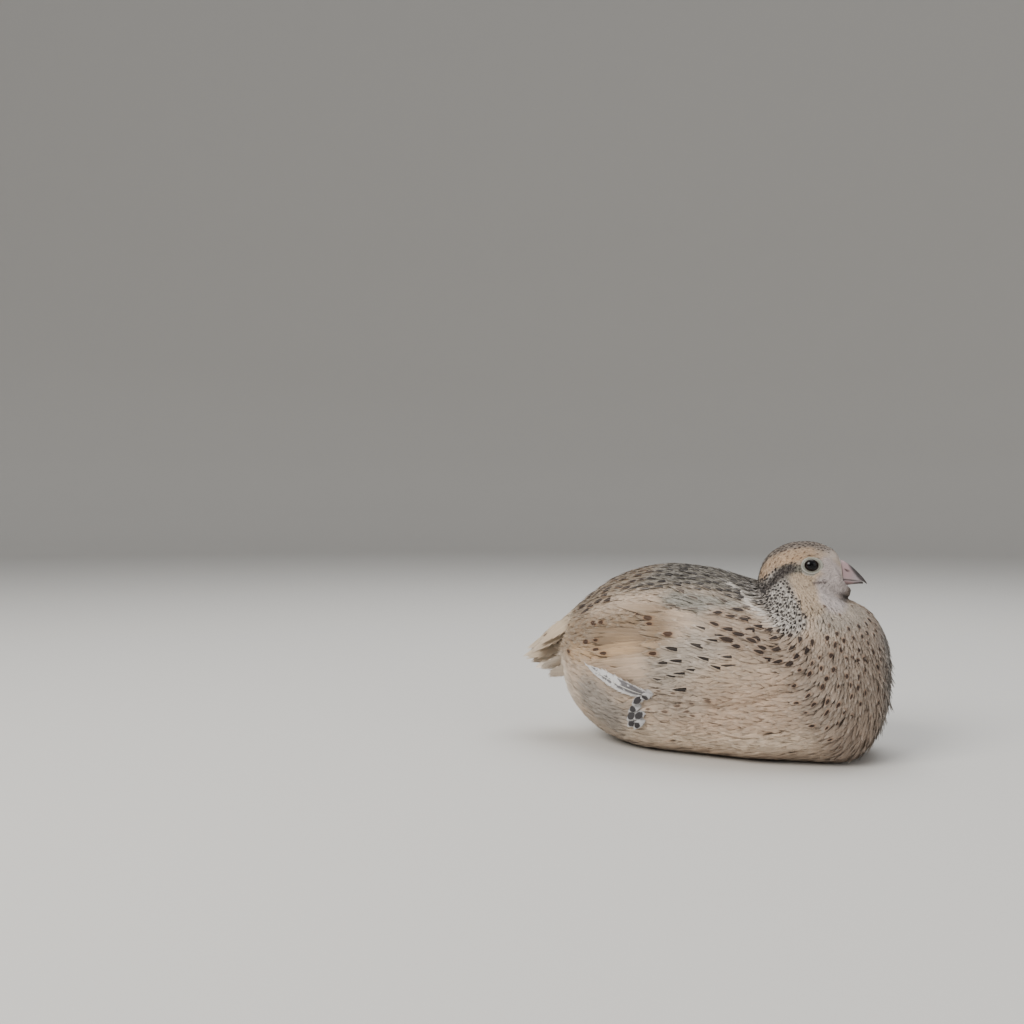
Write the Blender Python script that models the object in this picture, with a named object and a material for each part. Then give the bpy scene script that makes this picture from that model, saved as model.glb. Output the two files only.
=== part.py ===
"""A life-size coturnix quail resting on its belly, as a still museum model.

The bird faces +X, its left side is +Y and the floor is z = 0. One slanting loft, from the rump along the
back and breast and up the neck to the bill, gives the plumage its outline, and thin cuts part it into the
torso, neck and head. Wings and tail are blades of feather that overlap in tiers on a core of their own.
"""

import math
import random
from typing import NamedTuple

import bmesh
import bpy
import numpy as np
from mathutils import Matrix, Vector
from mathutils.bvhtree import BVHTree

MM = 0.001
GAP = 0.3 * MM

# The body's outline


class Ring(NamedTuple):
    """One slanting cross-section of the plumage. Places and sizes are in millimetres."""

    back_x: float
    back_z: float
    belly_x: float
    belly_z: float
    half_width: float
    waist: float  # how far up from belly to back the ring is widest, as a share
    fullness: float  # above the waist: 2 makes an ellipse, and more makes it boxier
    settled: float  # the same below the waist, where the plumage spreads on the floor


RINGS = (
    Ring(-66.0, 47.4, -67.0, 31.5, 5.5, 0.52, 2.0, 2.0),  # 0 inside the tail
    Ring(-60.0, 52.5, -61.5, 26.5, 10.5, 0.52, 2.0, 2.0),
    Ring(-51.0, 60.3, -56.0, 15.0, 19.0, 0.48, 2.05, 2.2),  # 2 rump and vent
    Ring(-38.0, 69.3, -43.0, 4.2, 28.0, 0.45, 2.1, 2.4),
    Ring(-20.0, 74.6, -23.0, -0.8, 34.8, 0.43, 2.2, 2.7),  # 4 top of the back
    Ring(-2.0, 74.0, 6.0, -1.4, 37.3, 0.42, 2.2, 2.8),
    Ring(10.5, 71.2, 34.0, -1.4, 37.3, 0.42, 2.2, 2.7),  # 6 shoulders
    Ring(18.0, 69.2, 58.5, 0.0, 34.6, 0.43, 2.2, 2.45),
    Ring(20.4, 68.6, 70.2, 16.5, 31.0, 0.44, 2.1, 2.15),  # 8 front of the breast
    Ring(21.2, 69.2, 71.8, 41.5, 25.4, 0.46, 2.05, 2.05),  # 9 base of the neck
    Ring(21.6, 71.6, 65.6, 56.2, 18.2, 0.50, 2.0, 2.0),
    Ring(23.2, 76.4, 56.6, 61.8, 13.0, 0.52, 2.0, 2.1),  # 11 nape and throat
    Ring(27.2, 81.2, 56.8, 63.9, 10.5, 0.56, 2.0, 2.2),
    Ring(34.5, 84.7, 57.2, 65.8, 9.0, 0.60, 2.05, 2.3),  # 13 crown
    Ring(43.5, 84.9, 56.4, 66.9, 7.7, 0.60, 2.1, 2.4),
    Ring(50.3, 82.1, 54.0, 67.0, 5.8, 0.55, 2.1, 2.4),  # 15 forehead
    Ring(53.2, 78.2, 54.6, 67.7, 4.2, 0.50, 2.1, 2.4),  # 16 root of the bill
)
TAIL_CUT = 2.0
NECK_CUT = 9.0
HEAD_CUT = 11.2
BILL_CUT = len(RINGS) - 1.0


class Swell(NamedTuple):
    """A soft rise of the surface round a point on the bird's left, mirrored to its right. Millimetres."""

    x: float
    y: float
    z: float
    reach: float
    height: float


SWELLS = (
    Swell(37.0, 10.0, 70.5, 6.5, 1.2),  # cheek
    Swell(42.0, 7.0, 81.0, 4.0, 0.7),  # brow
    Swell(49.5, 6.0, 75.0, 3.6, -0.8),  # hollow between eye and bill
    Swell(56.0, 0.0, 64.4, 4.0, 0.8),  # puffed throat
    Swell(22.0, 32.0, 11.0, 15.0, 1.6),  # thigh under the flank feathers
)

HEAD_TURN = math.radians(4.0)  # to the bird's left
TURN_STARTS, TURN_ENDS = 8.5, 11.5  # rings between which the neck twists
TURN_AXIS_X = 34.0 * MM

TORSO_RINGS, TORSO_AROUND = 21, 34
NECK_RINGS, NECK_AROUND = 6, 34
HEAD_RINGS, HEAD_AROUND = 16, 30
GUIDE_RINGS, GUIDE_AROUND = 110, 96

# Eyes and bill, with places before the head turns

EYE_PLACE = (41.8 * MM, 7.1 * MM, 75.7 * MM)
EYE_RADIUS = 3.5 * MM
EYE_TILT = math.radians(6.0)
LID_RADIUS = 2.9 * MM
LID_THICKNESS = 0.75 * MM
LID_OUT = 2.1 * MM  # from the eye's centre to the lid ring's plane

BILL_TIP_X = 63.4 * MM
BILL_RIDGE_Z = 77.6 * MM  # of the culmen, where it meets the forehead
MOUTH_BACK_Z = 70.1 * MM
MOUTH_FRONT_Z = 69.5 * MM
MOUTH_DROOP = 0.6 * MM  # at the tip
HOOK = 0.7 * MM
BILL_ROWS = 8
BILL_AROUND = 10
LOWER_BILL_SHARE = 0.84  # its length as a share of the upper bill's
NOSTRIL_PLACE = (55.8 * MM, 3.2 * MM, 74.2 * MM)
NOSTRIL_SIZE = (1.5 * MM, 0.8 * MM, 0.42 * MM)
GAPE_LENGTH = 6.0 * MM
GAPE_SLIT = 0.3 * MM

# Feet, flat on the floor under the belly

TARSUS_RADIUS = 1.75 * MM
HOCK_RADIUS = 2.3 * MM
TOE_RADIUS = 1.2 * MM
CLAW_LENGTH = 3.6 * MM
HOCK_X, HOCK_Y = -15.0 * MM, 15.5 * MM
FOOT_X, FOOT_Y = 12.0 * MM, 14.0 * MM
TOE_ANGLES = (-21.0, 0.0, 20.0)  # inner, middle and outer toe, in degrees from straight ahead
TOE_LENGTHS = (17.0 * MM, 22.0 * MM, 16.5 * MM)
KNUCKLES = ((0.0, 1.25), (0.3, 0.92), (0.37, 1.08), (0.7, 0.84), (1.0, 0.8))  # share of length, width
HIND_TOE_ANGLE = -150.0
HIND_TOE_LENGTH = 6.5 * MM

# Wings

WING_CENTRE = (0.5 * MM, 41.5 * MM)
WING_HALF_LENGTH = 44.0 * MM
WING_HALF_HEIGHT = 18.0 * MM
WING_CORE = 2.8 * MM
WING_GAP = 0.5 * MM  # a little more than GAP, as the torso's own facets are coarser than its form
WING_LEAN = math.radians(4.0)
VANE_THICKNESS = 0.55 * MM
VANE_ROWS = 4
ROOT_SUNK = 0.9 * MM
UNEVEN = 0.9  # how far a feather's tip strays from its even place, in millimetres
SHINGLE = math.radians(11.0)  # how far each blade leans out over the one below it


class Tier(NamedTuple):
    """A row of feathers on the side of the bird. Places are (x, z) in millimetres, lowest feather first."""

    name: str
    count: int
    first_root: tuple
    first_tip: tuple
    last_root: tuple
    last_tip: tuple
    width: float
    lift: float  # of the tips, over the wing's core


WING_TIERS = (
    Tier("primary", 4, (-14.0, 28.0), (-43.0, 22.0), (-18.0, 38.5), (-47.5, 33.0), 7.4, 0.5),
    Tier("secondary", 6, (0.0, 29.0), (-29.0, 20.0), (-10.0, 51.0), (-46.0, 47.5), 9.4, 1.15),
    Tier("greater_covert", 7, (20.0, 28.5), (-6.0, 19.0), (10.0, 53.5), (-22.0, 53.5), 8.6, 1.25),
    Tier("median_covert", 6, (34.5, 33.0), (14.0, 22.0), (28.0, 52.0), (3.0, 55.0), 8.0, 1.3),
    Tier("scapular", 4, (26.0, 50.5), (-6.0, 54.5), (6.0, 56.5), (-32.0, 60.0), 8.4, 1.9),
)

STRAY = Tier("stray_quill", 1, (-10.0, 27.0), (-45.5, 37.5), None, None, 7.0, 2.6)
STRAY_DROOP = 3.6

# Tail


class Fan(NamedTuple):
    """A fan of tail feathers. Places are (x, z) in millimetres, angles are in degrees."""

    name: str
    count: int
    root: tuple
    length: float
    slope: float  # below the horizon
    spread: float  # from the middle feather to the outermost
    root_half_width: float
    width: float
    droop: float


TAIL_FANS = (
    Fan("upper_covert", 6, (-54.0, 55.4), 20.0, 37.0, 22.0, 9.0, 9.5, 0.3),
    Fan("rectrix", 8, (-57.0, 44.5), 21.0, 20.0, 15.0, 6.0, 7.6, 0.8),
    Fan("lower_covert", 5, (-59.0, 38.0), 17.0, 16.0, 18.0, 6.0, 8.0, 0.8),
    Fan("under_covert", 6, (-56.0, 32.0), 16.5, 11.0, 26.0, 8.0, 9.0, 0.8),
)

# Colours, as RGB with roughness

MATERIALS = {
    "plumage": ((0.62, 0.52, 0.40), 0.85),
    "wing_plumage": ((0.58, 0.47, 0.35), 0.80),
    "tail_plumage": ((0.66, 0.48, 0.30), 0.80),
    "face": ((0.66, 0.56, 0.45), 0.85),
    "bill": ((0.48, 0.40, 0.38), 0.40),
    "eye": ((0.02, 0.02, 0.015), 0.08),
    "foot": ((0.62, 0.47, 0.38), 0.60),
}


def blend_rings(u):
    """The sizes of the cross-section at each u, by a smooth curve through RINGS."""
    table = np.array(RINGS)
    last = len(table) - 1
    whole = np.clip(np.floor(u).astype(int), 0, last - 1)
    t = (u - whole)[..., None]
    before = table[np.maximum(whole - 1, 0)]
    start, end = table[whole], table[whole + 1]
    after = table[np.minimum(whole + 2, last)]
    slope_in, slope_out = (end - before) / 2, (after - start) / 2
    return (
        (2 * t**3 - 3 * t**2 + 1) * start
        + (t**3 - 2 * t**2 + t) * slope_in
        + (3 * t**2 - 2 * t**3) * end
        + (t**3 - t**2) * slope_out
    )


def smooth_step(x):
    """0 below 0, 1 above 1, and a soft curve between."""
    x = np.clip(x, 0.0, 1.0)
    return x * x * (3 - 2 * x)


def body_points(u, angle):
    """Points of the plumage's outside, in metres. Angle 0 is the back, pi the belly, and plus is the left."""
    back_x, back_z, belly_x, belly_z, half_width, waist, full, settled = np.moveaxis(blend_rings(u), -1, 0)
    cosine, sine = np.cos(angle), np.sin(angle)
    power = 2 / np.where(cosine > 0, full, settled)
    up = np.sign(cosine) * np.abs(cosine) ** power
    out = np.sign(sine) * np.abs(sine) ** power
    height = waist + up * np.where(cosine > 0, 1 - waist, waist)
    points = np.stack(
        [
            belly_x + (back_x - belly_x) * height,
            half_width * out,
            belly_z + (back_z - belly_z) * height,
        ],
        axis=-1,
    )
    middle = np.stack(
        [belly_x + (back_x - belly_x) * waist, 0 * waist, belly_z + (back_z - belly_z) * waist], axis=-1
    )
    outward = points - middle
    outward /= np.maximum(np.linalg.norm(outward, axis=-1, keepdims=True), 1e-9)
    rise = np.zeros(np.shape(angle))
    for swell in SWELLS:
        for side in (1, -1) if swell.y else (1,):
            away = points - np.array([swell.x, side * swell.y, swell.z])
            rise = rise + swell.height * np.exp(-np.sum(away**2, axis=-1) / swell.reach**2)
    points = (points + outward * rise[..., None]) * MM
    return turn_with_head(points, smooth_step((u - TURN_STARTS) / (TURN_ENDS - TURN_STARTS)))


def turn_with_head(points, share):
    """The points turned about the neck's upright axis by that share of the head's turn."""
    cosine, sine = np.cos(HEAD_TURN * share), np.sin(HEAD_TURN * share)
    x, y = points[..., 0] - TURN_AXIS_X, points[..., 1]
    return np.stack([TURN_AXIS_X + x * cosine - y * sine, x * sine + y * cosine, points[..., 2]], axis=-1)


def head_matrix():
    """Turns what is placed on the unturned head."""
    axis = Matrix.Translation((TURN_AXIS_X, 0, 0))
    return axis @ Matrix.Rotation(HEAD_TURN, 4, "Z") @ axis.inverted()


# Objects, materials and joining


def clear_scene():
    for item in list(bpy.data.objects):
        bpy.data.objects.remove(item)


def make_material(name):
    colour, roughness = MATERIALS[name]
    material = bpy.data.materials.new(name)
    material.use_nodes = True
    shader = material.node_tree.nodes["Principled BSDF"]
    shader.inputs["Base Color"].default_value = (*colour, 1.0)
    shader.inputs["Roughness"].default_value = roughness
    return material


def collection(name, hidden=False):
    made = bpy.data.collections.new(name)
    made.hide_render = hidden
    bpy.context.scene.collection.children.link(made)
    return made


def object_from(name, bm, home):
    """A mesh object from a bmesh, linked to the collection, with its normals out."""
    bmesh.ops.recalc_face_normals(bm, faces=bm.faces)
    mesh = bpy.data.meshes.new(name)
    bm.to_mesh(mesh)
    bm.free()
    made = bpy.data.objects.new(name, mesh)
    home.objects.link(made)
    return made


def baked(source, name, home):
    """A new mesh object of what source looks like with its modifiers; source is removed."""
    bpy.context.view_layer.update()
    graph = bpy.context.evaluated_depsgraph_get()
    mesh = bpy.data.meshes.new_from_object(source.evaluated_get(graph))
    mesh.transform(source.matrix_world)
    bm = bmesh.new()
    bm.from_mesh(mesh)
    bmesh.ops.remove_doubles(bm, verts=bm.verts, dist=0.0001 * MM)
    bm.to_mesh(mesh)
    bm.free()
    bpy.data.objects.remove(source)
    made = bpy.data.objects.new(name, mesh)
    home.objects.link(made)
    return made


def combined(base, helpers, operation, name, home, solver="EXACT"):
    """base joined to, or cut by, every mesh in the helpers collection, which is emptied."""
    boolean = base.modifiers.new(operation.lower(), "BOOLEAN")
    boolean.operation = operation
    boolean.solver = solver
    boolean.operand_type = "COLLECTION"
    boolean.collection = helpers
    made = baked(base, name, home)
    for helper in list(helpers.objects):
        bpy.data.objects.remove(helper)
    keep_largest_surface(made.data)
    return made


def keep_largest_surface(mesh):
    """Drops every loose scrap of the mesh but the one that holds the most."""
    bm = bmesh.new()
    bm.from_mesh(mesh)
    left = set(bm.verts)
    groups = []
    while left:
        group, edge_of_search = set(), [left.pop()]
        while edge_of_search:
            vert = edge_of_search.pop()
            group.add(vert)
            for edge in vert.link_edges:
                other = edge.other_vert(vert)
                if other in left:
                    left.remove(other)
                    edge_of_search.append(other)
        groups.append(group)
    groups.sort(key=len)
    scraps = [vert for group in groups[:-1] for vert in group]
    bmesh.ops.delete(bm, geom=scraps, context="VERTS")
    needless = [vert for vert in bm.verts if len(vert.link_edges) == 2]
    bmesh.ops.dissolve_verts(bm, verts=needless)
    bmesh.ops.triangulate(bm, faces=bm.faces)
    bm.to_mesh(mesh)
    bm.free()


def finish(item, material, smooth_angle=40.0):
    """Gives a node its material and soft shading."""
    item.data.materials.clear()
    item.data.materials.append(material)
    item.data.shade_smooth()
    item.data.set_sharp_from_angle(angle=math.radians(smooth_angle))
    return item


# Torso, neck and head


def body_slice(name, home, start, end, rings, around, start_gap=0.0, end_gap=0.0):
    """The length of the body's loft between two cuts, closed flat at both."""
    u, angle = np.meshgrid(
        np.linspace(start, end, rings), np.linspace(0, 2 * np.pi, around, endpoint=False), indexing="ij"
    )
    angle = np.where(angle > np.pi, angle - 2 * np.pi, angle)
    points = body_points(u, angle)
    for row, gap in ((0, start_gap), (-1, -end_gap)):
        ring = points[row]
        normal = np.cross(ring[around // 4] - ring[-(around // 4)], ring[0] - ring[around // 2])
        normal /= np.linalg.norm(normal)
        towards_end = points[-1].mean(0) - points[0].mean(0)
        points[row] = ring + normal * np.sign(normal @ towards_end) * gap
    bm = bmesh.new()
    verts = [[bm.verts.new(point) for point in ring] for ring in points]
    for low, high in zip(verts, verts[1:]):
        for i in range(around):
            j = (i + 1) % around
            bm.faces.new((low[i], low[j], high[j], high[i]))
    for ring, places in ((verts[0], points[0]), (verts[-1], points[-1])):
        hub = bm.verts.new(places.mean(0))
        for i in range(around):
            bm.faces.new((ring[i], ring[(i + 1) % around], hub))
    return object_from(name, bm, home)


def cut_flat_on_floor(item):
    """Cuts off what lies below the floor and closes the cut."""
    bm = bmesh.new()
    bm.from_mesh(item.data)
    cut = bmesh.ops.bisect_plane(
        bm,
        geom=bm.verts[:] + bm.edges[:] + bm.faces[:],
        plane_co=(0, 0, 0),
        plane_no=(0, 0, -1),
        clear_outer=True,
    )
    rim = [part for part in cut["geom_cut"] if isinstance(part, bmesh.types.BMEdge)]
    bmesh.ops.holes_fill(bm, edges=rim)
    bmesh.ops.triangulate(bm, faces=bm.faces)
    bmesh.ops.recalc_face_normals(bm, faces=bm.faces)
    bm.to_mesh(item.data)
    bm.free()


def guide_surface():
    """A fine copy of the plumage's outside that the wings are laid on."""
    u, angle = np.meshgrid(
        np.linspace(0, NECK_CUT, GUIDE_RINGS), np.linspace(-np.pi, np.pi, GUIDE_AROUND), indexing="ij"
    )
    points = body_points(u, angle)
    flat = points.reshape(-1, 3)
    faces = [
        (r * GUIDE_AROUND + i, r * GUIDE_AROUND + i + 1, (r + 1) * GUIDE_AROUND + i + 1, (r + 1) * GUIDE_AROUND + i)
        for r in range(GUIDE_RINGS - 1)
        for i in range(GUIDE_AROUND - 1)
    ]
    return BVHTree.FromPolygons([tuple(point) for point in flat], faces)


def flank_y(guide, x, z):
    """How far out the bird's left side is at a place seen from the side."""
    hit = guide.ray_cast(Vector((x, 0.2, z)), Vector((0, -1, 0)))[0]
    return hit.y if hit else 0.0


def on_flank(guide, x, z):
    """The point of the left side at (x, z), and the smooth normal there."""
    step = 1.5 * MM
    slope_x = (flank_y(guide, x + step, z) - flank_y(guide, x - step, z)) / (2 * step)
    slope_z = (flank_y(guide, x, z + step) - flank_y(guide, x, z - step)) / (2 * step)
    return Vector((x, flank_y(guide, x, z), z)), Vector((-slope_x, 1, -slope_z)).normalized()


def make_torso(home, cutters, legs):
    torso = body_slice(
        "torso", home, TAIL_CUT, NECK_CUT, TORSO_RINGS, TORSO_AROUND, GAP / 2, GAP / 2
    )
    cut_flat_on_floor(torso)
    for leg in legs:
        cutters.objects.link(leg)
    return combined(torso, cutters, "DIFFERENCE", "torso", home)


def make_neck(home):
    return body_slice("neck", home, NECK_CUT, HEAD_CUT, NECK_RINGS, NECK_AROUND, GAP / 2, GAP / 2)


def eye_frame(side, radius_out=0.0):
    """The place of an eye, turned so that its own +Z looks out of the head."""
    tilt = Matrix.Rotation(side * (-math.pi / 2 + EYE_TILT), 4, "X")
    x, y, z = EYE_PLACE
    forward = Matrix.Rotation(side * math.radians(-8.0), 4, "Z")
    return (
        head_matrix()
        @ Matrix.Translation((x, side * y, z))
        @ forward
        @ tilt
        @ Matrix.Translation((0, 0, radius_out))
    )


def sphere(name, home, radius, matrix, segments=24, rings=14):
    bm = bmesh.new()
    bmesh.ops.create_uvsphere(bm, u_segments=segments, v_segments=rings, radius=radius)
    bm.transform(matrix)
    return object_from(name, bm, home)


def lid_ring(side, home):
    bpy.ops.mesh.primitive_torus_add(
        major_radius=LID_RADIUS, minor_radius=LID_THICKNESS, major_segments=18, minor_segments=7
    )
    ring = bpy.context.object
    for owner in list(ring.users_collection):
        owner.objects.unlink(ring)
    home.objects.link(ring)
    ring.data.transform(eye_frame(side, LID_OUT))
    return ring


def bill_root_x(z):
    """Where the flat front of the head, which the bill grows from, is at a height."""
    root = RINGS[-1]
    share = (z / MM - root.belly_z) / (root.back_z - root.belly_z)
    return (root.belly_x + (root.back_x - root.belly_x) * share) * MM


def mouth_line(t):
    """Height of the line between the halves of the bill, from its root at 0 to its tip at 1."""
    return MOUTH_BACK_Z + (MOUTH_FRONT_Z - MOUTH_BACK_Z) * t - MOUTH_DROOP * max(0.0, t) ** 4


def gape_cutter(home):
    """A thin wedge that opens the corner of the mouth behind the bill."""
    bm = bmesh.new()
    bmesh.ops.create_cube(bm, size=1.0)
    front_x = (RINGS[-1].belly_x + 2.0) * MM
    bm.transform(
        head_matrix()
        @ Matrix.Translation((front_x - GAPE_LENGTH / 2, 0, mouth_line(-0.1)))
        @ Matrix.Rotation(math.radians(-4.0), 4, "Y")
        @ Matrix.Diagonal((GAPE_LENGTH, 30 * MM, GAPE_SLIT, 1))
    )
    return object_from("gape_cutter", bm, home)


def make_head(home, helpers):
    skull = body_slice("head", home, HEAD_CUT, BILL_CUT, HEAD_RINGS, HEAD_AROUND, GAP / 2, GAP / 2)
    for side in (1, -1):
        lid_ring(side, helpers)
    skull = combined(skull, helpers, "UNION", "head", home)
    for side in (1, -1):
        sphere("socket", helpers, EYE_RADIUS + GAP, eye_frame(side), 18, 10)
    gape_cutter(helpers)
    return combined(skull, helpers, "DIFFERENCE", "head", home)


def make_eye(side, home):
    name = "eye_left" if side > 0 else "eye_right"
    return sphere(name, home, EYE_RADIUS, eye_frame(side), segments=18, rings=10)


# Bill


def bill_half(name, home, upper):
    """The upper or lower half of the bill, a loft of D-shaped sections from its root to its tip."""
    bm = bmesh.new()
    reach = 1.0 if upper else LOWER_BILL_SHARE
    sections = [bill_section(bm, row / (BILL_ROWS - 1) * reach, upper) for row in range(BILL_ROWS)]
    for near, far in zip(sections, sections[1:]):
        for i in range(len(near)):
            j = (i + 1) % len(near)
            bm.faces.new((near[i], near[j], far[j], far[i]))
    bm.faces.new(sections[0])
    bm.faces.new(sections[-1])
    bmesh.ops.triangulate(bm, faces=bm.faces)
    bm.transform(head_matrix())
    return object_from(name, bm, home)


def bill_section(bm, t, upper):
    """One D-shaped section of a bill half at the share t of the upper half's length."""
    side = 1 if upper else -1
    hook = HOOK * max(0.0, (t - LOWER_BILL_SHARE) / (1 - LOWER_BILL_SHARE)) if upper else 0.0
    seam_z = mouth_line(t) + side * GAP / 2 - hook
    half_width = (0.35 + (root_half_width() - 0.35) * (1 - t) ** 0.72 * (1 - 0.12 * math.sin(math.pi * t))) * MM
    if upper:
        rise = (BILL_RIDGE_Z - MOUTH_BACK_Z) * (1 - t) * (1 + 0.6 * t * (1 - t)) + 0.3 * MM + hook * 0.5
    else:
        rise = (MOUTH_BACK_Z - RINGS[-1].belly_z * MM) * (1 - 0.75 * t) - GAP / 2
    section = []
    for i in range(BILL_AROUND + 1):
        angle = math.pi * i / BILL_AROUND
        z = seam_z + side * rise * math.sin(angle) ** 0.9
        x = (bill_root_x(z) + GAP / 2) * (1 - t) + BILL_TIP_X * t
        section.append(bm.verts.new((x, half_width * math.cos(angle), z)))
    return section


def root_half_width():
    """Half the bill's width where the mouth line meets the face, in millimetres."""
    return RINGS[-1].half_width * 0.93


def make_upper_bill(home, helpers):
    bill = bill_half("bill_upper", home, upper=True)
    for side in (1, -1):
        bm = bmesh.new()
        bmesh.ops.create_uvsphere(bm, u_segments=12, v_segments=8, radius=1.0)
        x, y, z = NOSTRIL_PLACE
        slant = Matrix.Rotation(math.radians(24.0), 4, "Y")
        bm.transform(
            head_matrix() @ Matrix.Translation((x, side * y, z)) @ slant @ Matrix.Diagonal((*NOSTRIL_SIZE, 1))
        )
        object_from("nostril", bm, helpers)
    return combined(bill, helpers, "DIFFERENCE", "bill_upper", home)


# Feet


def tube(name, home, points, radii, sides=2):
    """A round limb through the points, with a radius at each, as a closed mesh."""
    curve = bpy.data.curves.new(name, "CURVE")
    curve.dimensions = "3D"
    curve.bevel_depth = 1.0
    curve.bevel_resolution = sides
    curve.use_fill_caps = True
    spline = curve.splines.new("POLY")
    spline.points.add(len(points) - 1)
    for place, point, radius in zip(spline.points, points, radii):
        place.co = (*point, 1.0)
        place.radius = radius
    made = bpy.data.objects.new(name, curve)
    home.objects.link(made)
    return baked(made, name, home)


def toe_route(angle, length, side, knuckles):
    """Points and radii of one toe with its claw, lying on the floor."""
    heading = Vector((math.cos(math.radians(angle)), side * math.sin(math.radians(angle)), 0))
    start = Vector((FOOT_X, side * FOOT_Y, 0))
    points, radii = [], []
    for share, radius in knuckles:
        points.append(start + heading * length * share + Vector((0, 0, TOE_RADIUS * radius * 0.86)))
        radii.append(TOE_RADIUS * radius)
    for share, rise, radius in ((0.3, 0.9, 0.56), (1.0, 0.42, 0.2)):
        points.append(start + heading * (length + CLAW_LENGTH * share) + Vector((0, 0, TOE_RADIUS * rise)))
        radii.append(TOE_RADIUS * radius)
    return points, radii


def leg(name, side, home, helpers, swell=0.0):
    """Hock, shank and four toes in one. swell makes it fatter all over, for the recess that takes it."""
    hock = Vector((HOCK_X, side * HOCK_Y, HOCK_RADIUS * 0.9))
    foot = Vector((FOOT_X, side * FOOT_Y, TARSUS_RADIUS * 0.9))
    along = (foot - hock).normalized()
    shares = ((-0.09, 0.75), (0.02, 1.0), (0.2, 0.78), (0.6, 0.72), (0.95, 0.86), (1.07, 0.6))
    length = (foot - hock).length
    points, radii = [], []
    for share, radius in shares:
        point = hock + along * length * share
        points.append(Vector((point.x, point.y, HOCK_RADIUS * radius * 0.9)))
        radii.append(HOCK_RADIUS * radius + swell)
    points[0] -= along * swell * 1.2
    points[-1] += along * swell * 1.2
    shank = tube(name, home, points, radii, sides=3)
    toes = list(zip(TOE_ANGLES, TOE_LENGTHS)) + [(HIND_TOE_ANGLE, HIND_TOE_LENGTH)]
    knuckles = ((0.0, 1.25), (1.0, 1.12)) if swell else KNUCKLES
    for angle, toe_length in toes:
        route, toe_radii = toe_route(angle, toe_length, side, knuckles)
        if swell:
            route[0] -= (route[1] - route[0]).normalized() * swell * 1.2
            route[-1] += (route[-1] - route[-2]).normalized() * swell * 1.2
        tube("toe", helpers, route, [radius + swell for radius in toe_radii], sides=1 if swell else 2)
    made = combined(shank, helpers, "UNION", name, home)
    if not swell:
        cut_flat_on_floor(made)
    return made


# Wings and tail


def half_width_at(share):
    """How wide a feather is along its length, as a share of its greatest half width."""
    if share < 0.45:
        return 0.34 + 0.66 * float(smooth_step(share / 0.45))
    if share < 0.72:
        return 1.0
    return max(0.16, math.sqrt(max(0.0, 1 - ((share - 0.72) / 0.28) ** 2)))


def vane(name, home, place):
    """One feather as a thin closed blade. place(across, share) gives a point of its underside and the
    direction out of the bird, for across from -1 to 1 and share from the root to the tip."""
    bm = bmesh.new()
    bmesh.ops.create_grid(bm, x_segments=2, y_segments=VANE_ROWS, size=1.0)
    bmesh.ops.triangulate(bm, faces=bm.faces)
    under = list(bm.verts)
    made = bmesh.ops.extrude_face_region(bm, geom=bm.faces[:], use_keep_orig=True)
    over = [part for part in made["geom"] if isinstance(part, bmesh.types.BMVert)]
    for verts, lift in ((under, 0.0), (over, VANE_THICKNESS)):
        for vert in verts:
            point, out = place(vert.co.x, 1 - (1 - (vert.co.y + 1) / 2) ** 1.35)
            vert.co = point + out * lift
    return object_from(name, bm, home)


def wing_level(x, z):
    """How full the wing's core is at a place seen from the side: 1 in its middle, 0 at its edge."""
    x, z = x - WING_CENTRE[0], z - WING_CENTRE[1]
    along = (x * math.cos(WING_LEAN) + z * math.sin(WING_LEAN)) / WING_HALF_LENGTH
    across = (z * math.cos(WING_LEAN) - x * math.sin(WING_LEAN)) / WING_HALF_HEIGHT
    across /= 1 + 0.18 * along
    return math.sqrt(max(0.0, 1 - along * along - across * across))


def flank_place(guide, tier, root, tip, side, droop, least):
    """Where a feather that lies on the side of the bird runs. least is how near it comes to the skin."""
    heading = Vector((tip[0] - root[0], tip[1] - root[1])).normalized()
    upward = Vector((heading.y, -heading.x))

    def place(across, share):
        offset = across * tier.width / 2 * half_width_at(share)
        bend = -droop * 4 * share * (1 - share)
        x = (root[0] + (tip[0] - root[0]) * share + upward.x * offset) * MM
        z = (root[1] + (tip[1] - root[1]) * share + upward.y * offset + bend) * MM
        point, out = on_flank(guide, x, z)
        rise = float(smooth_step(share / 0.65))
        height = WING_CORE * wing_level(x, z) - ROOT_SUNK + (tier.lift * MM + ROOT_SUNK) * rise
        height = max(least * MM, height - offset * MM * math.tan(SHINGLE))
        point = point + out * (WING_GAP + height)
        if side < 0:
            point.y, out.y = -point.y, -out.y
        return point, out

    return place


def wing_core(name, guide, side, home):
    """The wing's own thickness: a lens that follows the side of the bird a gap away from it."""
    bm = bmesh.new()
    bmesh.ops.create_uvsphere(bm, u_segments=26, v_segments=10, radius=1.0)
    for vert in bm.verts:
        along, across, level = vert.co
        full = math.sqrt(max(0.0, 1 - along * along - across * across))
        across *= 1 + 0.18 * along
        x = along * math.cos(WING_LEAN) * WING_HALF_LENGTH - across * math.sin(WING_LEAN) * WING_HALF_HEIGHT
        z = along * math.sin(WING_LEAN) * WING_HALF_LENGTH + across * math.cos(WING_LEAN) * WING_HALF_HEIGHT
        point, out = on_flank(guide, WING_CENTRE[0] + x, WING_CENTRE[1] + z)
        vert.co = point + out * (WING_GAP + WING_CORE * (level + full) / 2)
        vert.co.y *= side
    return object_from(name, bm, home)


def tier_feathers(tier):
    """Root and tip of each feather in a tier, lowest first, a little uneven as real ones are."""
    draw = random.Random(tier.name)
    for i in range(tier.count):
        share = i / max(tier.count - 1, 1)
        root = [a + (b - a) * share for a, b in zip(tier.first_root, tier.last_root or tier.first_root)]
        tip = [a + (b - a) * share for a, b in zip(tier.first_tip, tier.last_tip or tier.first_tip)]
        yield root, [place + draw.uniform(-UNEVEN, UNEVEN) for place in tip], 0.1 + 0.05 * i


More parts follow.
